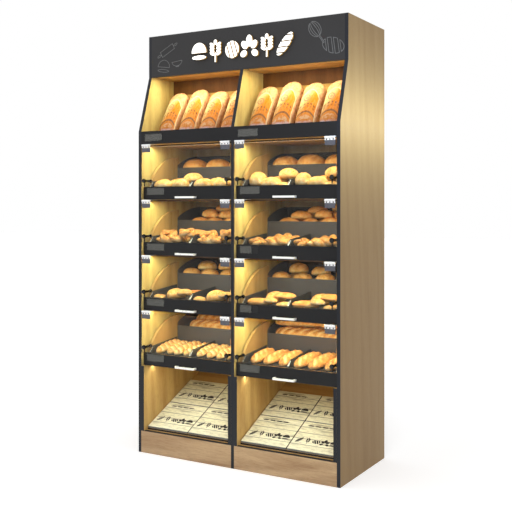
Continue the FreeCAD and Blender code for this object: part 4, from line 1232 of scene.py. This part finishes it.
# %% [markdown]
# ## Bagged loaves
# Four loaves in printed film lean side by side in each top bin. A bagged loaf is a sphere whose
# rings are pressed into the loaf's outline, square at the foot and round at the crown, so that it
# has a flat but slightly swollen face and soft edges. The film is drawn tight over the crown and
# gathered at the foot. Each vertex keeps its place across and along the loaf for the print, and
# whether it is on the face.


# %% Masks for the print
def near(tree, value, centre, width, soft):
    """1 where a value lies within a width of a centre, falling to 0 over a soft edge."""
    away = calculate(tree, "ABSOLUTE", calculate_free(tree, "SUBTRACT", value, centre))
    return spread(tree, away, width + soft, width)


def panel(tree, arch, across, along, inset):
    """1 inside the printed panel, whose top is arched, less an inset all round."""
    tall = multiply(tree, spread(tree, arch, 0.80 - inset, 0.785 - inset),
                    spread(tree, along, 0.05 + inset, 0.065 + inset))
    return multiply(tree, tall, near(tree, across, 0.0, 0.88 - 2 * inset, 0.03))


print("Masks ready")

# %% Film of the loaf bags
BROWN_INK = paint(98, 64, 36)
BEADS = ((0.47, 0.85), (0.41, 0.5))


def bread_inside(tree, crumb, front):
    """The bread as it shows through the film: its face in front, its darker crust at the sides."""
    face = blend_colours(tree, spread(tree, crumb, 0.35, 0.65), paint(202, 160, 118), paint(170, 114, 82))
    side = blend_colours(tree, spread(tree, crumb, 0.4, 0.6), paint(214, 140, 70), paint(130, 74, 32))
    return blend_colours(tree, front, side, face)


def bag_print(tree, where, across, along, bend, crumb):
    """The printed ground, paler at the upper left as a painted highlight, with its rows of beads, a band, a
    small low panel and a ring.
    """
    # Paler towards the upper left: a painted highlight on the film, laid over the orange print.
    glow = calculate_free(tree, "MULTIPLY_ADD", across, -0.55, along)
    ink = blend_colours(tree, spread(tree, glow, 0.50, 0.95), paint(186, 110, 28), paint(204, 182, 132))
    swirl = noise_value(tree, where, 60.0, 2.0)
    ink = blend_colours(tree, spread(tree, swirl, 0.5, 0.75, 0.0, 0.35), ink, paint(180, 96, 4))
    ink = blend_colours(tree, spread(tree, bend, 0.34, 0.20, 0.0, 0.6), ink, paint(160, 92, 8))
    beads = calculate_free(tree, "PINGPONG", across, 0.17)
    for height, strength in BEADS:
        row = near(tree, bend, height, 0.018, 0.006)
        dots = multiply(tree, spread(tree, beads, 0.10, 0.07), row)
        ink = blend_colours(tree, multiply(tree, dots, strength), ink, BROWN_INK)
    band = near(tree, bend, 0.30, 0.016, 0.008)
    ink = blend_colours(tree, multiply(tree, band, 0.85), ink, BROWN_INK)
    low = multiply(tree, near(tree, bend, 0.19, 0.036, 0.01), near(tree, across, 0.0, 0.62, 0.08))
    low = multiply(tree, low, spread(tree, crumb, 0.45, 0.55, 0.1, 0.75))
    ink = blend_colours(tree, low, ink, paint(182, 148, 112))
    aside = calculate_free(tree, "MULTIPLY_ADD", across, 0.22, 0.06)
    above = calculate_free(tree, "SUBTRACT", along, 0.60)
    offset = put(tree, "ShaderNodeCombineXYZ", {0: aside, 1: above}).outputs[0]
    reach = put(tree, "ShaderNodeVectorMath", {0: offset}, operation="LENGTH").outputs["Value"]
    ring = multiply(tree, near(tree, reach, 0.064, 0.012, 0.006), 0.75)
    ink = blend_colours(tree, ring, ink, paint(136, 96, 76))
    middle = multiply(tree, spread(tree, reach, 0.036, 0.026), 0.7)
    return blend_colours(tree, middle, ink, paint(138, 98, 80))


def bag_film():
    finish, tree, shader = new_finish("bag_film", paint(240, 190, 120), 0.3, Coat_Weight=0.15,
                                      Coat_Roughness=0.12, Specular_IOR_Level=0.3)
    across, along, front = (attribute(tree, name) for name in ("across", "along", "front"))
    where = place(tree)
    crumb = noise_value(tree, where, 55.0, 6.0, Roughness=0.65)
    colour = bread_inside(tree, crumb, front)
    square = calculate_free(tree, "MULTIPLY", across, across)
    bend = calculate_free(tree, "MULTIPLY_ADD", square, 0.16, along)
    arch = calculate_free(tree, "MULTIPLY_ADD", square, 0.26, along)
    printed = multiply(tree, panel(tree, arch, across, along, 0.0), spread(tree, front, 0.5, 0.6))
    inner = panel(tree, arch, across, along, 0.014)
    ink = bag_print(tree, where, across, along, bend, crumb)
    ink = blend_colours(tree, inner, paint(214, 198, 158), ink)
    colour = blend_colours(tree, printed, colour, ink)
    hem = multiply(tree, spread(tree, along, 0.12, 0.06), spread(tree, crumb, 0.42, 0.56, 0.25, 0.9))
    colour = blend_colours(tree, hem, colour, paint(176, 168, 186))
    creases = noise_value(tree, place(tree, scale=(1.0, 0.5, 0.35)), 70.0, 3.0, Distortion=1.2)
    wire(tree, shader, Base_Color=colour, Roughness=spread(tree, creases, 0.3, 0.7, 0.18, 0.4),
         height=(creases, 0.5, 0.004))
    return finish


film = bag_film()
print("Film:", film.name)

# %% Loaf bags in the top bins
BAG_WIDTH = 0.118
BAG_THICKNESS = 0.084
BAG_LENGTH = 0.290
BAG_PITCH = 0.134
BAG_SIDE_GAP = 0.0025
BAG_ROW_SHIFT = {"left": 1.0, "right": 0.6}
BAG_LEAN = 33.0
BAG_FOOT_RISE = 0.002
BAG_ROUNDING = 0.42
BAG_SQUARING = 0.32
BAG_WAIST = 0.05
BAG_SLIMMER = 0.99
CROWN_TAPER = 0.18
CROWN_START = 0.75
GATHERED = 0.03
GATHERED_RUFFLE = 0.0035
TIGHT_RUFFLE = 0.0012
BOARD = 0.018
BAG_SCALE = {"left": (1.0, 1.05, 0.97, 0.99), "right": (0.985, 1.055, 0.99, 1.0)}
lean = math.radians(BAG_LEAN)
bag_foot = (FRONT + BOARD + BAG_THICKNESS / math.cos(lean) + BAG_FOOT_RISE * math.tan(lean),
            RAIL_LOW.z + BOARD + BAG_FOOT_RISE)


def bag_row(bay):
    """X of each bag of a bay, with the row's spare room shared between its ends."""
    free = WALLS[bay][1] - WALLS[bay][0] - BAG_WIDTH - 2 * BAG_SIDE_GAP
    first = CENTRE[bay] - free / 2 + (free - 3 * BAG_PITCH) * BAG_ROW_SHIFT[bay]
    return [first + number * BAG_PITCH for number in range(4)]


def pressed(value, power):
    """A value pressed towards 1 or -1, which squares off a round form."""
    return math.copysign(abs(value) ** power, value)


def loaf_bag(bm, x, taller, seed):
    """One bagged loaf, leaning on its board."""
    half, length = BAG_WIDTH / 2, BAG_LENGTH * taller
    shoulder = length - half
    forwards = Matrix.Rotation(math.radians(90), 4, "X")
    fresh = bmesh.ops.create_uvsphere(bm, u_segments=56, v_segments=26, radius=1.0, matrix=forwards)["verts"]
    across, along, front = (bm.verts.layers.float[name] for name in ("across", "along", "front"))
    shift = Vector((seed * 3.7, seed * 1.9, 0))
    for vert in fresh:
        side, depth, up = vert.co
        girth = math.hypot(side, up) or 1e-6
        side, up = side / girth, up / girth
        share = girth ** BAG_ROUNDING
        # The outline is measured from the shoulder, in single precision.
        if up > 0:
            outline = Vector((half * side, 0, shoulder + half * up)) - Vector((0, 0, shoulder))
        else:
            outline = Vector((half * pressed(side, BAG_SQUARING), 0, shoulder * pressed(up, BAG_SQUARING)))
        x_here, z_here = outline.x * share, shoulder + outline.z * share
        waist = 1 - BAG_WAIST * math.sin(math.pi * min(z_here / shoulder, 1.0))
        swollen = 0.90 + 0.10 * (1 - share ** 2)
        taper = CROWN_TAPER * max(z_here / length - CROWN_START, 0) / (1 - CROWN_START)
        thick = BAG_THICKNESS / 2 * pressed(depth, BAG_ROUNDING) * swollen * (1 - taper)
        crumple = GATHERED_RUFFLE if z_here < GATHERED else TIGHT_RUFFLE
        ruffle = noise.noise(Vector((x_here, thick, z_here)) * 45 + shift) * crumple
        vert[across] = x_here / half
        vert[along] = z_here / length
        vert[front] = min(max(0.5 - depth * 3, 0.0), 1.0) if abs(depth) < 0.4 else float(depth < 0)
        vert.co = (x_here * waist * BAG_SLIMMER + ruffle, thick - BAG_THICKNESS / 2 + ruffle, z_here)
    for face in {face for vert in fresh for face in vert.link_faces}:
        face.smooth = True
    leaning = Matrix.Translation((x, *bag_foot)) @ Matrix.Rotation(-lean, 4, "X")
    bmesh.ops.transform(bm, matrix=leaning, verts=fresh)


for bay in BAYS:
    bm = bmesh.new()
    for name in ("across", "along", "front"):
        bm.verts.layers.float.new(name)
    for number, x in enumerate(bag_row(bay)):
        loaf_bag(bm, x, BAG_SCALE[bay][number], number + 5 * BAYS.index(bay))
    make_piece(f"loaf_bags_{bay}", bm, [film], "cabinet", ["bagged_loaves"])
print("Loaf bags:", 4 * len(BAYS), "foot at", [round(value, 3) for value in bag_foot])

# %% [markdown]
# ## Motifs
# The sign, the chalk drawings and the printed paper share a few simple bakery motifs: an ear of
# wheat, a sliced loaf, a bun, a crescent, a stick loaf, a rolling pin, a whisk and a bowl. Each is
# drawn once from flat ellipses and bars, about 1 across, and cut through where it needs a gap.


# %% Flat shapes
def laid_flat(x, y, width, height, turn=0.0):
    """The matrix that sizes, turns and places a flat shape of size 1."""
    return (Matrix.Translation((x, y, 0)) @ Matrix.Rotation(math.radians(turn), 4, "Z")
            @ Matrix.Diagonal((width, height, 1, 1)))


def blob(bm, x, y, width, height, turn=0.0):
    """A flat ellipse."""
    shape = laid_flat(x, y, width / 2, height / 2, turn)
    bmesh.ops.create_circle(bm, cap_ends=True, segments=32, radius=1.0, matrix=shape)


def bar(bm, x, y, width, height):
    """A flat rectangle."""
    bmesh.ops.create_grid(bm, x_segments=1, y_segments=1, size=0.5, matrix=laid_flat(x, y, width, height))


def slit(bm, offsets, turn, gap):
    """Cuts parallel gaps through everything drawn so far."""
    across = Vector((math.cos(math.radians(turn)), math.sin(math.radians(turn)), 0))
    for offset in offsets:
        for edge in (-gap / 2, gap / 2):
            bmesh.ops.bisect_plane(bm, geom=bm.verts[:] + bm.edges[:] + bm.faces[:],
                                   plane_co=across * (offset + edge), plane_no=across)
    inside = [face for face in bm.faces
              if any(abs(face.calc_center_median().dot(across) - offset) < gap / 2 for offset in offsets)]
    bmesh.ops.delete(bm, geom=inside, context="FACES")


print("Flat shapes ready")


# %% Motifs
def ear(bm):
    bar(bm, 0, -0.28, 0.05, 0.44)
    blob(bm, 0, 0.43, 0.13, 0.24)
    for row in range(4):
        for side in (-1, 1):
            blob(bm, side * 0.135, -0.10 + row * 0.14, 0.13, 0.24, -side * 42)


def sliced_loaf(bm):
    blob(bm, 0, 0.0, 0.98, 0.62)
    slit(bm, (-0.26, 0.0, 0.26), 28, 0.07)


def bun(bm):
    blob(bm, 0, 0.02, 0.94, 0.92)
    slit(bm, (-0.30, 0.80), 90, 0.60)
    blob(bm, 0, -0.22, 0.90, 0.20)


def crescent_roll(bm):
    for step, size in enumerate((0.42, 0.46, 0.54, 0.46, 0.42)):
        angle = math.radians(198 - 54 * step)
        blob(bm, 0.38 * math.cos(angle), 0.44 * math.sin(angle) - 0.12, size * 0.72, size,
             math.degrees(angle) - 90)


def stick_loaf(bm):
    blob(bm, 0, 0, 1.16, 0.40)
    slit(bm, (-0.36, -0.12, 0.12, 0.36), 40, 0.05)
    upwards = Matrix.Rotation(math.radians(52), 3, "Z")
    bmesh.ops.rotate(bm, verts=bm.verts, cent=(0, 0, 0), matrix=upwards)


def rolling_pin(bm):
    bar(bm, 0, 0, 0.66, 0.24)
    for side in (-1, 1):
        blob(bm, side * 0.43, 0, 0.20, 0.09)


def whisk(bm):
    bar(bm, 0, -0.34, 0.06, 0.34)
    for width in (0.14, 0.30, 0.46):
        blob(bm, 0, 0.12, width, 0.62)


def bowl(bm):
    blob(bm, 0, 0.16, 0.92, 0.72)
    slit(bm, (0.42,), 90, 0.52)
    bar(bm, 0, -0.22, 0.30, 0.06)


def motif(draw):
    """A drawing as a template mesh."""
    bm = bmesh.new()
    draw(bm)
    return as_mesh(draw.__name__, bm)


MOTIFS = {draw.__name__: motif(draw) for draw in
          (ear, sliced_loaf, bun, crescent_roll, stick_loaf, rolling_pin, whisk, bowl)}


def stamp(bm, name, matrix, finish, depth=0.0, line=0.0):
    """Adds a motif through a matrix, solid to a depth, or as thin outlines."""
    part = bmesh.new()
    part.from_mesh(MOTIFS[name])
    if line > 0:
        filled = part.faces[:]
        bmesh.ops.inset_individual(part, faces=filled, thickness=line, use_even_offset=True)
        bmesh.ops.delete(part, geom=filled, context="FACES_ONLY")
    if depth > 0:
        bmesh.ops.solidify(part, geom=part.faces[:], thickness=depth)
    for face in part.faces:
        face.material_index = finish
    join(bm, part, matrix)


print("Motifs:", sorted(MOTIFS))

# %% [markdown]
# ## Sign
# Six lit shapes stand on the dark board, where such a rack carries its sign, with a few chalk
# drawings at each end. They are acrylic blocks that glow white at the front and throw warm light on
# the board round them. A chalk drawing is a thin raised outline, as thick for a small one as for a
# large one.

# %% Lit shapes and chalk drawings
SIGN_ROW = (("bun", 0.098, 0.112), ("ear", 0.150, 0.112), ("sliced_loaf", 0.084, 0.145),
            ("crescent_roll", 0.092, 0.112), ("ear", 0.150, 0.112), ("stick_loaf", 0.118, 0.118))
SIGN_STEP = 0.1035
SIGN_MIDDLE = 2.150
SIGN_DEPTH = 0.012
STAND_OFF = 0.002
lit_face = mottled("lit_shapes", paint(255, 250, 240), 0.3, 0.4, 80.0, 0.03, 0.0,
                   Emission_Color=(1.0, 0.97, 0.90, 1.0), Emission_Strength=1.1)
lit_edge = mottled("lit_edges", paint(150, 112, 50), 0.3, 0.4, 80.0, 0.03, 0.0,
                   Emission_Color=(1.0, 0.62, 0.20, 1.0), Emission_Strength=0.22)
chalk = mottled("chalk", paint(122, 122, 122), 0.9, 1.0, 700.0, 0.5, 0.2)
ON_FRONT = Matrix.Rotation(math.radians(90), 4, "X")


def on_sign(x, z, width, height, turn, ahead):
    """The matrix that puts a motif upright on the sign board."""
    return (Matrix.Translation((x, SIGN_LOW.y - ahead, z)) @ ON_FRONT
            @ Matrix.Rotation(math.radians(turn), 4, "Z") @ Matrix.Diagonal((width, height, 1.0, 1.0)))


bm = bmesh.new()
for number, (name, width, height) in enumerate(SIGN_ROW):
    x = (number - (len(SIGN_ROW) - 1) / 2) * SIGN_STEP
    stamp(bm, name, on_sign(x, SIGN_MIDDLE, width, height, 0, STAND_OFF + SIGN_DEPTH), 0, SIGN_DEPTH)
bm.normal_update()
for face in bm.faces:
    face.material_index = int(face.normal.y > -0.7)
make_piece("sign_shapes", bm, [lit_face, lit_edge], "cabinet")

CHALK_LINE = 0.00242
CHALK_DEPTH = 0.0005
CHALK_AHEAD = 0.0006
CHALK_ROW = (("rolling_pin", -0.475, 2.185, 0.140, 28), ("bun", -0.500, 2.095, 0.085, -8),
             ("bowl", -0.410, 2.110, 0.075, 6), ("whisk", 0.430, 2.195, 0.140, 35),
             ("sliced_loaf", 0.520, 2.120, 0.125, -20))
bm = bmesh.new()
for name, x, z, size, turn in CHALK_ROW:
    stamp(bm, name, on_sign(x, z, size, size, turn, CHALK_AHEAD), 0, CHALK_DEPTH, CHALK_LINE / size)
make_piece("chalk_drawings", bm, [chalk], "cabinet")
print("Sign shapes:", len(SIGN_ROW), "chalk drawings:", len(CHALK_ROW))

# %% [markdown]
# ## Packs of paper bags
# The sloping floors of the bottom bins carry flat packs of printed paper bags. A pack is a stack of
# thin sheets: its front and back show their edges, its sides are painted dark as the shade in the
# gap beside the next pack, and its printed top has a faint wave. The print is of weathered planks
# with two rows of dark motifs.


# %% Printed paper
PLANK = 0.0445


def printed_paper():
    finish, tree, shader = new_finish("printed_paper", paint(232, 224, 186), 0.7, Specular_IOR_Level=0.3)
    along, across = attribute(tree, "along"), attribute(tree, "across")
    lane = calculate_free(tree, "MULTIPLY", along, 1 / PLANK)
    plank = calculate_free(tree, "FLOOR", lane)
    tone = put(tree, "ShaderNodeTexWhiteNoise", {"W": plank}, noise_dimensions="1D").outputs["Value"]
    drawn_out = calculate_free(tree, "MULTIPLY", across, 0.12)
    spot = put(tree, "ShaderNodeCombineXYZ", {0: drawn_out, 1: along, 2: plank}).outputs[0]
    grain = noise_value(tree, spot, 210.0, 4.0, Roughness=0.7)
    worn = noise_value(tree, spot, 40.0, 4.0)
    shade = spread(tree, tone, 0, 1, 0.0, 0.4)
    colour = blend_colours(tree, shade, paint(250, 248, 218), paint(208, 204, 164))
    colour = blend_colours(tree, spread(tree, grain, 0.5, 0.72, 0.0, 0.75), colour, paint(112, 108, 88))
    colour = blend_colours(tree, spread(tree, worn, 0.54, 0.70, 0.0, 0.75), colour, paint(128, 122, 98))
    edge = calculate_free(tree, "PINGPONG", lane, 0.5)
    colour = blend_colours(tree, spread(tree, edge, 0.05, 0.025, 0.0, 0.8), colour, paint(78, 74, 60))
    wire(tree, shader, Base_Color=colour, height=(grain, 0.15, 0.001))
    return finish


def sheet_edges():
    """The cut edges of stacked sheets: fine level lines of grey."""
    finish, tree, shader = new_finish("sheet_edges", paint(120, 126, 132), 0.8)
    lines = noise_value(tree, place(tree, scale=(1, 1, 40)), 60.0, 2.0)
    colour = blend_colours(tree, spread(tree, lines, 0.35, 0.65), paint(150, 156, 160), paint(60, 64, 72))
    wire(tree, shader, Base_Color=colour, height=(lines, 0.3, 0.001))
    return finish


paper, edges = printed_paper(), sheet_edges()
ink = mottled("print_ink", paint(46, 42, 38), 0.7, 0.85, 300.0, 0.3, 0.05)
shadow_gap = mottled("shadow_gap", paint(24, 24, 28), 0.8, 0.9, 90.0, 0.2, 0.05, Specular_IOR_Level=0.1)
print("Paper finishes:", paper.name, edges.name, ink.name)

# %% Packs on the sloping floors
PACK_SLOPE = 23.8
PACK_START = 0.034
PACK_THICKNESS = 0.012
PACK_LENGTH = 0.222
PACK_GAP = 0.004
PACK_SLACK = 0.002
PACK_ROUNDING = 0.0016
PACK_WAVE = 0.0009
DISPLAY_BOARD = 0.008
PACK_ROW = ("stick_loaf", "ear", "sliced_loaf", "crescent_roll", "bun")
PACK_MOTIF = 0.044
PIN_MOTIF = (0.040, 0.034, 1.0, 1.0)
tilted = math.radians(PACK_SLOPE)
pack_y, pack_z = FRONT + PACK_START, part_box("bottom_display_floors")[0].z


def pack_width(bay):
    low, high = WALLS[bay]
    return (high - low - 2 * BOARD - 3 * PACK_GAP) / 2 - PACK_SLACK


def paper_pack(width, seed):
    """A stack of sheets from the origin, with rounded corners and a wavy printed top."""
    bm = bmesh.new()
    along, across = (bm.verts.layers.float.new(name) for name in ("along", "across"))
    add_block(bm, (0, 0, 0), (width, PACK_LENGTH, PACK_THICKNESS), PACK_ROUNDING, 1)
    long_edges = [edge for edge in bm.edges if edge.calc_length() > 0.05]
    bmesh.ops.subdivide_edges(bm, edges=long_edges, cuts=11, use_grid_fill=True)
    for vert in bm.verts:
        vert[across], vert[along] = vert.co.x, vert.co.y
        if vert.co.z > PACK_THICKNESS / 2:
            wave = noise.noise(Vector((vert.co.x * 14 + seed, vert.co.y * 9, seed)))
            vert.co.z -= PACK_WAVE * (1 + wave)
    for face in bm.faces:
        face.smooth = True
        face.material_index = 0 if face.calc_center_median().z > PACK_THICKNESS * 0.8 else 1
        # A side that faces the next pack takes the dark gap finish: painted shade.
        if abs(face.normal.x) > 0.7:
            face.material_index = 3
    return bm


def print_pack(bm, laid, width):
    """Two rows of motifs on a pack's top."""
    for number, name in enumerate(PACK_ROW):
        spot = Matrix.Translation((width * (0.14 + 0.18 * number), PACK_LENGTH * 0.34, PACK_THICKNESS))
        stamp(bm, name, laid @ spot @ Matrix.Scale(PACK_MOTIF, 4), 2)
    for number in range(4):
        spot = Matrix.Translation((width * (0.20 + 0.15 * number), PACK_LENGTH * 0.86, PACK_THICKNESS))
        stamp(bm, "rolling_pin", laid @ spot @ Matrix.Diagonal(PIN_MOTIF), 2)


for bay in BAYS:
    width = pack_width(bay)
    surface = DISPLAY_BOARD / math.cos(tilted)
    bm = bmesh.new()
    for name in ("along", "across"):
        bm.verts.layers.float.new(name)
    for column in range(2):
        x = WALLS[bay][0] + BOARD + PACK_GAP + column * (width + PACK_GAP)
        for row in range(2):
            laid = (Matrix.Translation((x, pack_y, pack_z + surface)) @ Matrix.Rotation(tilted, 4, "X")
                    @ Matrix.Translation((0, row * (PACK_LENGTH + PACK_GAP), 0)))
            join(bm, paper_pack(width, column + 2 * row + 4 * BAYS.index(bay)), laid)
            print_pack(bm, laid, width)
    make_piece(f"paper_packs_{bay}", bm, [paper, edges, ink, shadow_gap], "cabinet",
               ["paper_bag_packs"])
print("Paper packs:", 4 * len(BAYS))

# %% [markdown]
# ## Trims, feet and screws
# A few small parts finish the carcase. The divider of each tray and its side walls end in a bright
# raked nose at the front, a thin strip that paints the highlight on their edges. Dark bands cover the
# front edges of the bin's liners and of the sloping floor. The cabinet stands on round levelling
# feet, and screws hold its back panel.

# %% Noses of the tray walls
NOSE_LOW = (-0.234, 0.071)
NOSE_HIGH = (-0.210, 0.095)
NOSE_THICKNESS = 0.0016
DIVIDER_NOSE = 0.008
WALL_NOSE = 0.0032
nose_highlight = mottled("nose_highlight", paint(240, 238, 228), 0.35, 0.5, 160.0, 0.08, 0.03)


def tray_nose(bm, x, width, floor_z, finish):
    """A bright strip along the raked front edge of a tray wall: a painted highlight."""
    rise, run = NOSE_HIGH[1] - NOSE_LOW[1], NOSE_HIGH[0] - NOSE_LOW[0]
    part = bmesh.new()
    add_block(part, (-width / 2, 0, -NOSE_THICKNESS), (width / 2, math.hypot(rise, run), 0), 0.0006, finish)
    leaning = Matrix.Rotation(math.atan2(rise, run), 4, "X")
    join(bm, part, Matrix.Translation((x, NOSE_LOW[0], floor_z + NOSE_LOW[1])) @ leaning)


for bay in BAYS:
    low, high = WALLS[bay]
    bm = bmesh.new()
    for tier in TIERS:
        tray_nose(bm, CENTRE[bay], DIVIDER_NOSE, FLOOR[tier], 0)
        for x in (low + TRAY_INSET - TRAY_SHEET / 2, high - TRAY_INSET + TRAY_SHEET / 2):
            tray_nose(bm, x, WALL_NOSE, FLOOR[tier], 1)
    make_piece(f"tray_noses_{bay}", bm, [nose_highlight, satin_steel], "cabinet")
print("Tray noses:", 3 * len(BAYS) * len(TIERS))

# %% Dark bands on the bins' front edges
BAND = 0.0008
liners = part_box("bottom_bin_liners")
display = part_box("bottom_display_floors")
for bay in BAYS:
    low, high = WALLS[bay]
    bm = bmesh.new()
    for start in (low, high - BOARD):
        add_block(bm, (start, liners[0].y - BAND, liners[0].z), (start + BOARD, liners[0].y, liners[1].z),
                  0.0003, 0)
    add_block(bm, (low + BOARD, display[0].y - BAND, display[0].z),
              (high - BOARD, display[0].y, display[0].z + DISPLAY_BOARD), 0.0003, 0)
    make_piece(f"bin_edge_bands_{bay}", bm, [edging], "cabinet")
print("Bands from", round(liners[0].z, 3), "to", round(liners[1].z, 3))

# %% Levelling feet and back screws
FOOT_RADIUS = 0.020
FOOT_STEM = 0.0065
FOOT_PAD = 0.008
FOOT_RIM = 0.002
FOOT_FLANGE = 0.010
FOOT_INSET = 0.070
THREAD = 0.0025
THREAD_CREST = FOOT_STEM + 0.0007
THREAD_ROOT = FOOT_STEM - 0.0003
BACK_THICKNESS = 0.008
BACK_SCREW_RADIUS = 0.0045
BACK_SCREW_ROWS = 9
SCREW_INSET = 0.012
foot_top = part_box("levelling_feet")[1].z


def foot_profile():
    """A pad with a rounded rim, a threaded stem and a flange under the board."""
    profile = [(0, 0), (0, FOOT_RADIUS - FOOT_RIM), (FOOT_RIM, FOOT_RADIUS),
               (FOOT_PAD - FOOT_RIM, FOOT_RADIUS), (FOOT_PAD, FOOT_RADIUS - 2 * FOOT_RIM),
               (FOOT_PAD, FOOT_STEM)]
    flange = foot_top - FOOT_FLANGE
    for turn in range(int((flange - FOOT_PAD) / THREAD)):
        low = FOOT_PAD + turn * THREAD
        profile += [(low + THREAD * 0.3, THREAD_CREST), (low + THREAD * 0.8, THREAD_ROOT)]
    return profile + [(flange, FOOT_STEM), (flange, FOOT_RADIUS), (foot_top, FOOT_RADIUS), (foot_top, 0)]


bm = bmesh.new()
for bay in BAYS:
    for side in (-1, 1):
        x = CENTRE[bay] + side * ((WALLS[bay][1] - WALLS[bay][0]) / 2 - FOOT_INSET)
        for y in (FRONT + FOOT_INSET, BACK_FACE - FOOT_INSET):
            add_turned(bm, (x, y, 0), (0, 0, 1), foot_profile(), 24, 0)
make_piece("levelling_feet_turned", bm, [rubber], "cabinet", ["levelling_feet"])

bm = bmesh.new()
back_low, back_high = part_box("back_panel")
screw_low = back_low.z + SCREW_INSET
screw_span = back_high.z - back_low.z - 2 * SCREW_INSET
for x in (back_low.x + SCREW_INSET, 0.0, back_high.x - SCREW_INSET):
    for row in range(BACK_SCREW_ROWS):
        z = screw_low + row * screw_span / (BACK_SCREW_ROWS - 1)
        add_screw(bm, (x, BACK_FACE + BACK_THICKNESS, z), (0, 1, 0), BACK_SCREW_RADIUS, 0)
make_piece("back_screws", bm, [galvanised], "cabinet")
print("Feet:", 4 * len(BAYS), "back screws:", 3 * BACK_SCREW_ROWS)

# %% Sizes
low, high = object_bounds()
print("Visual box:", low, high)
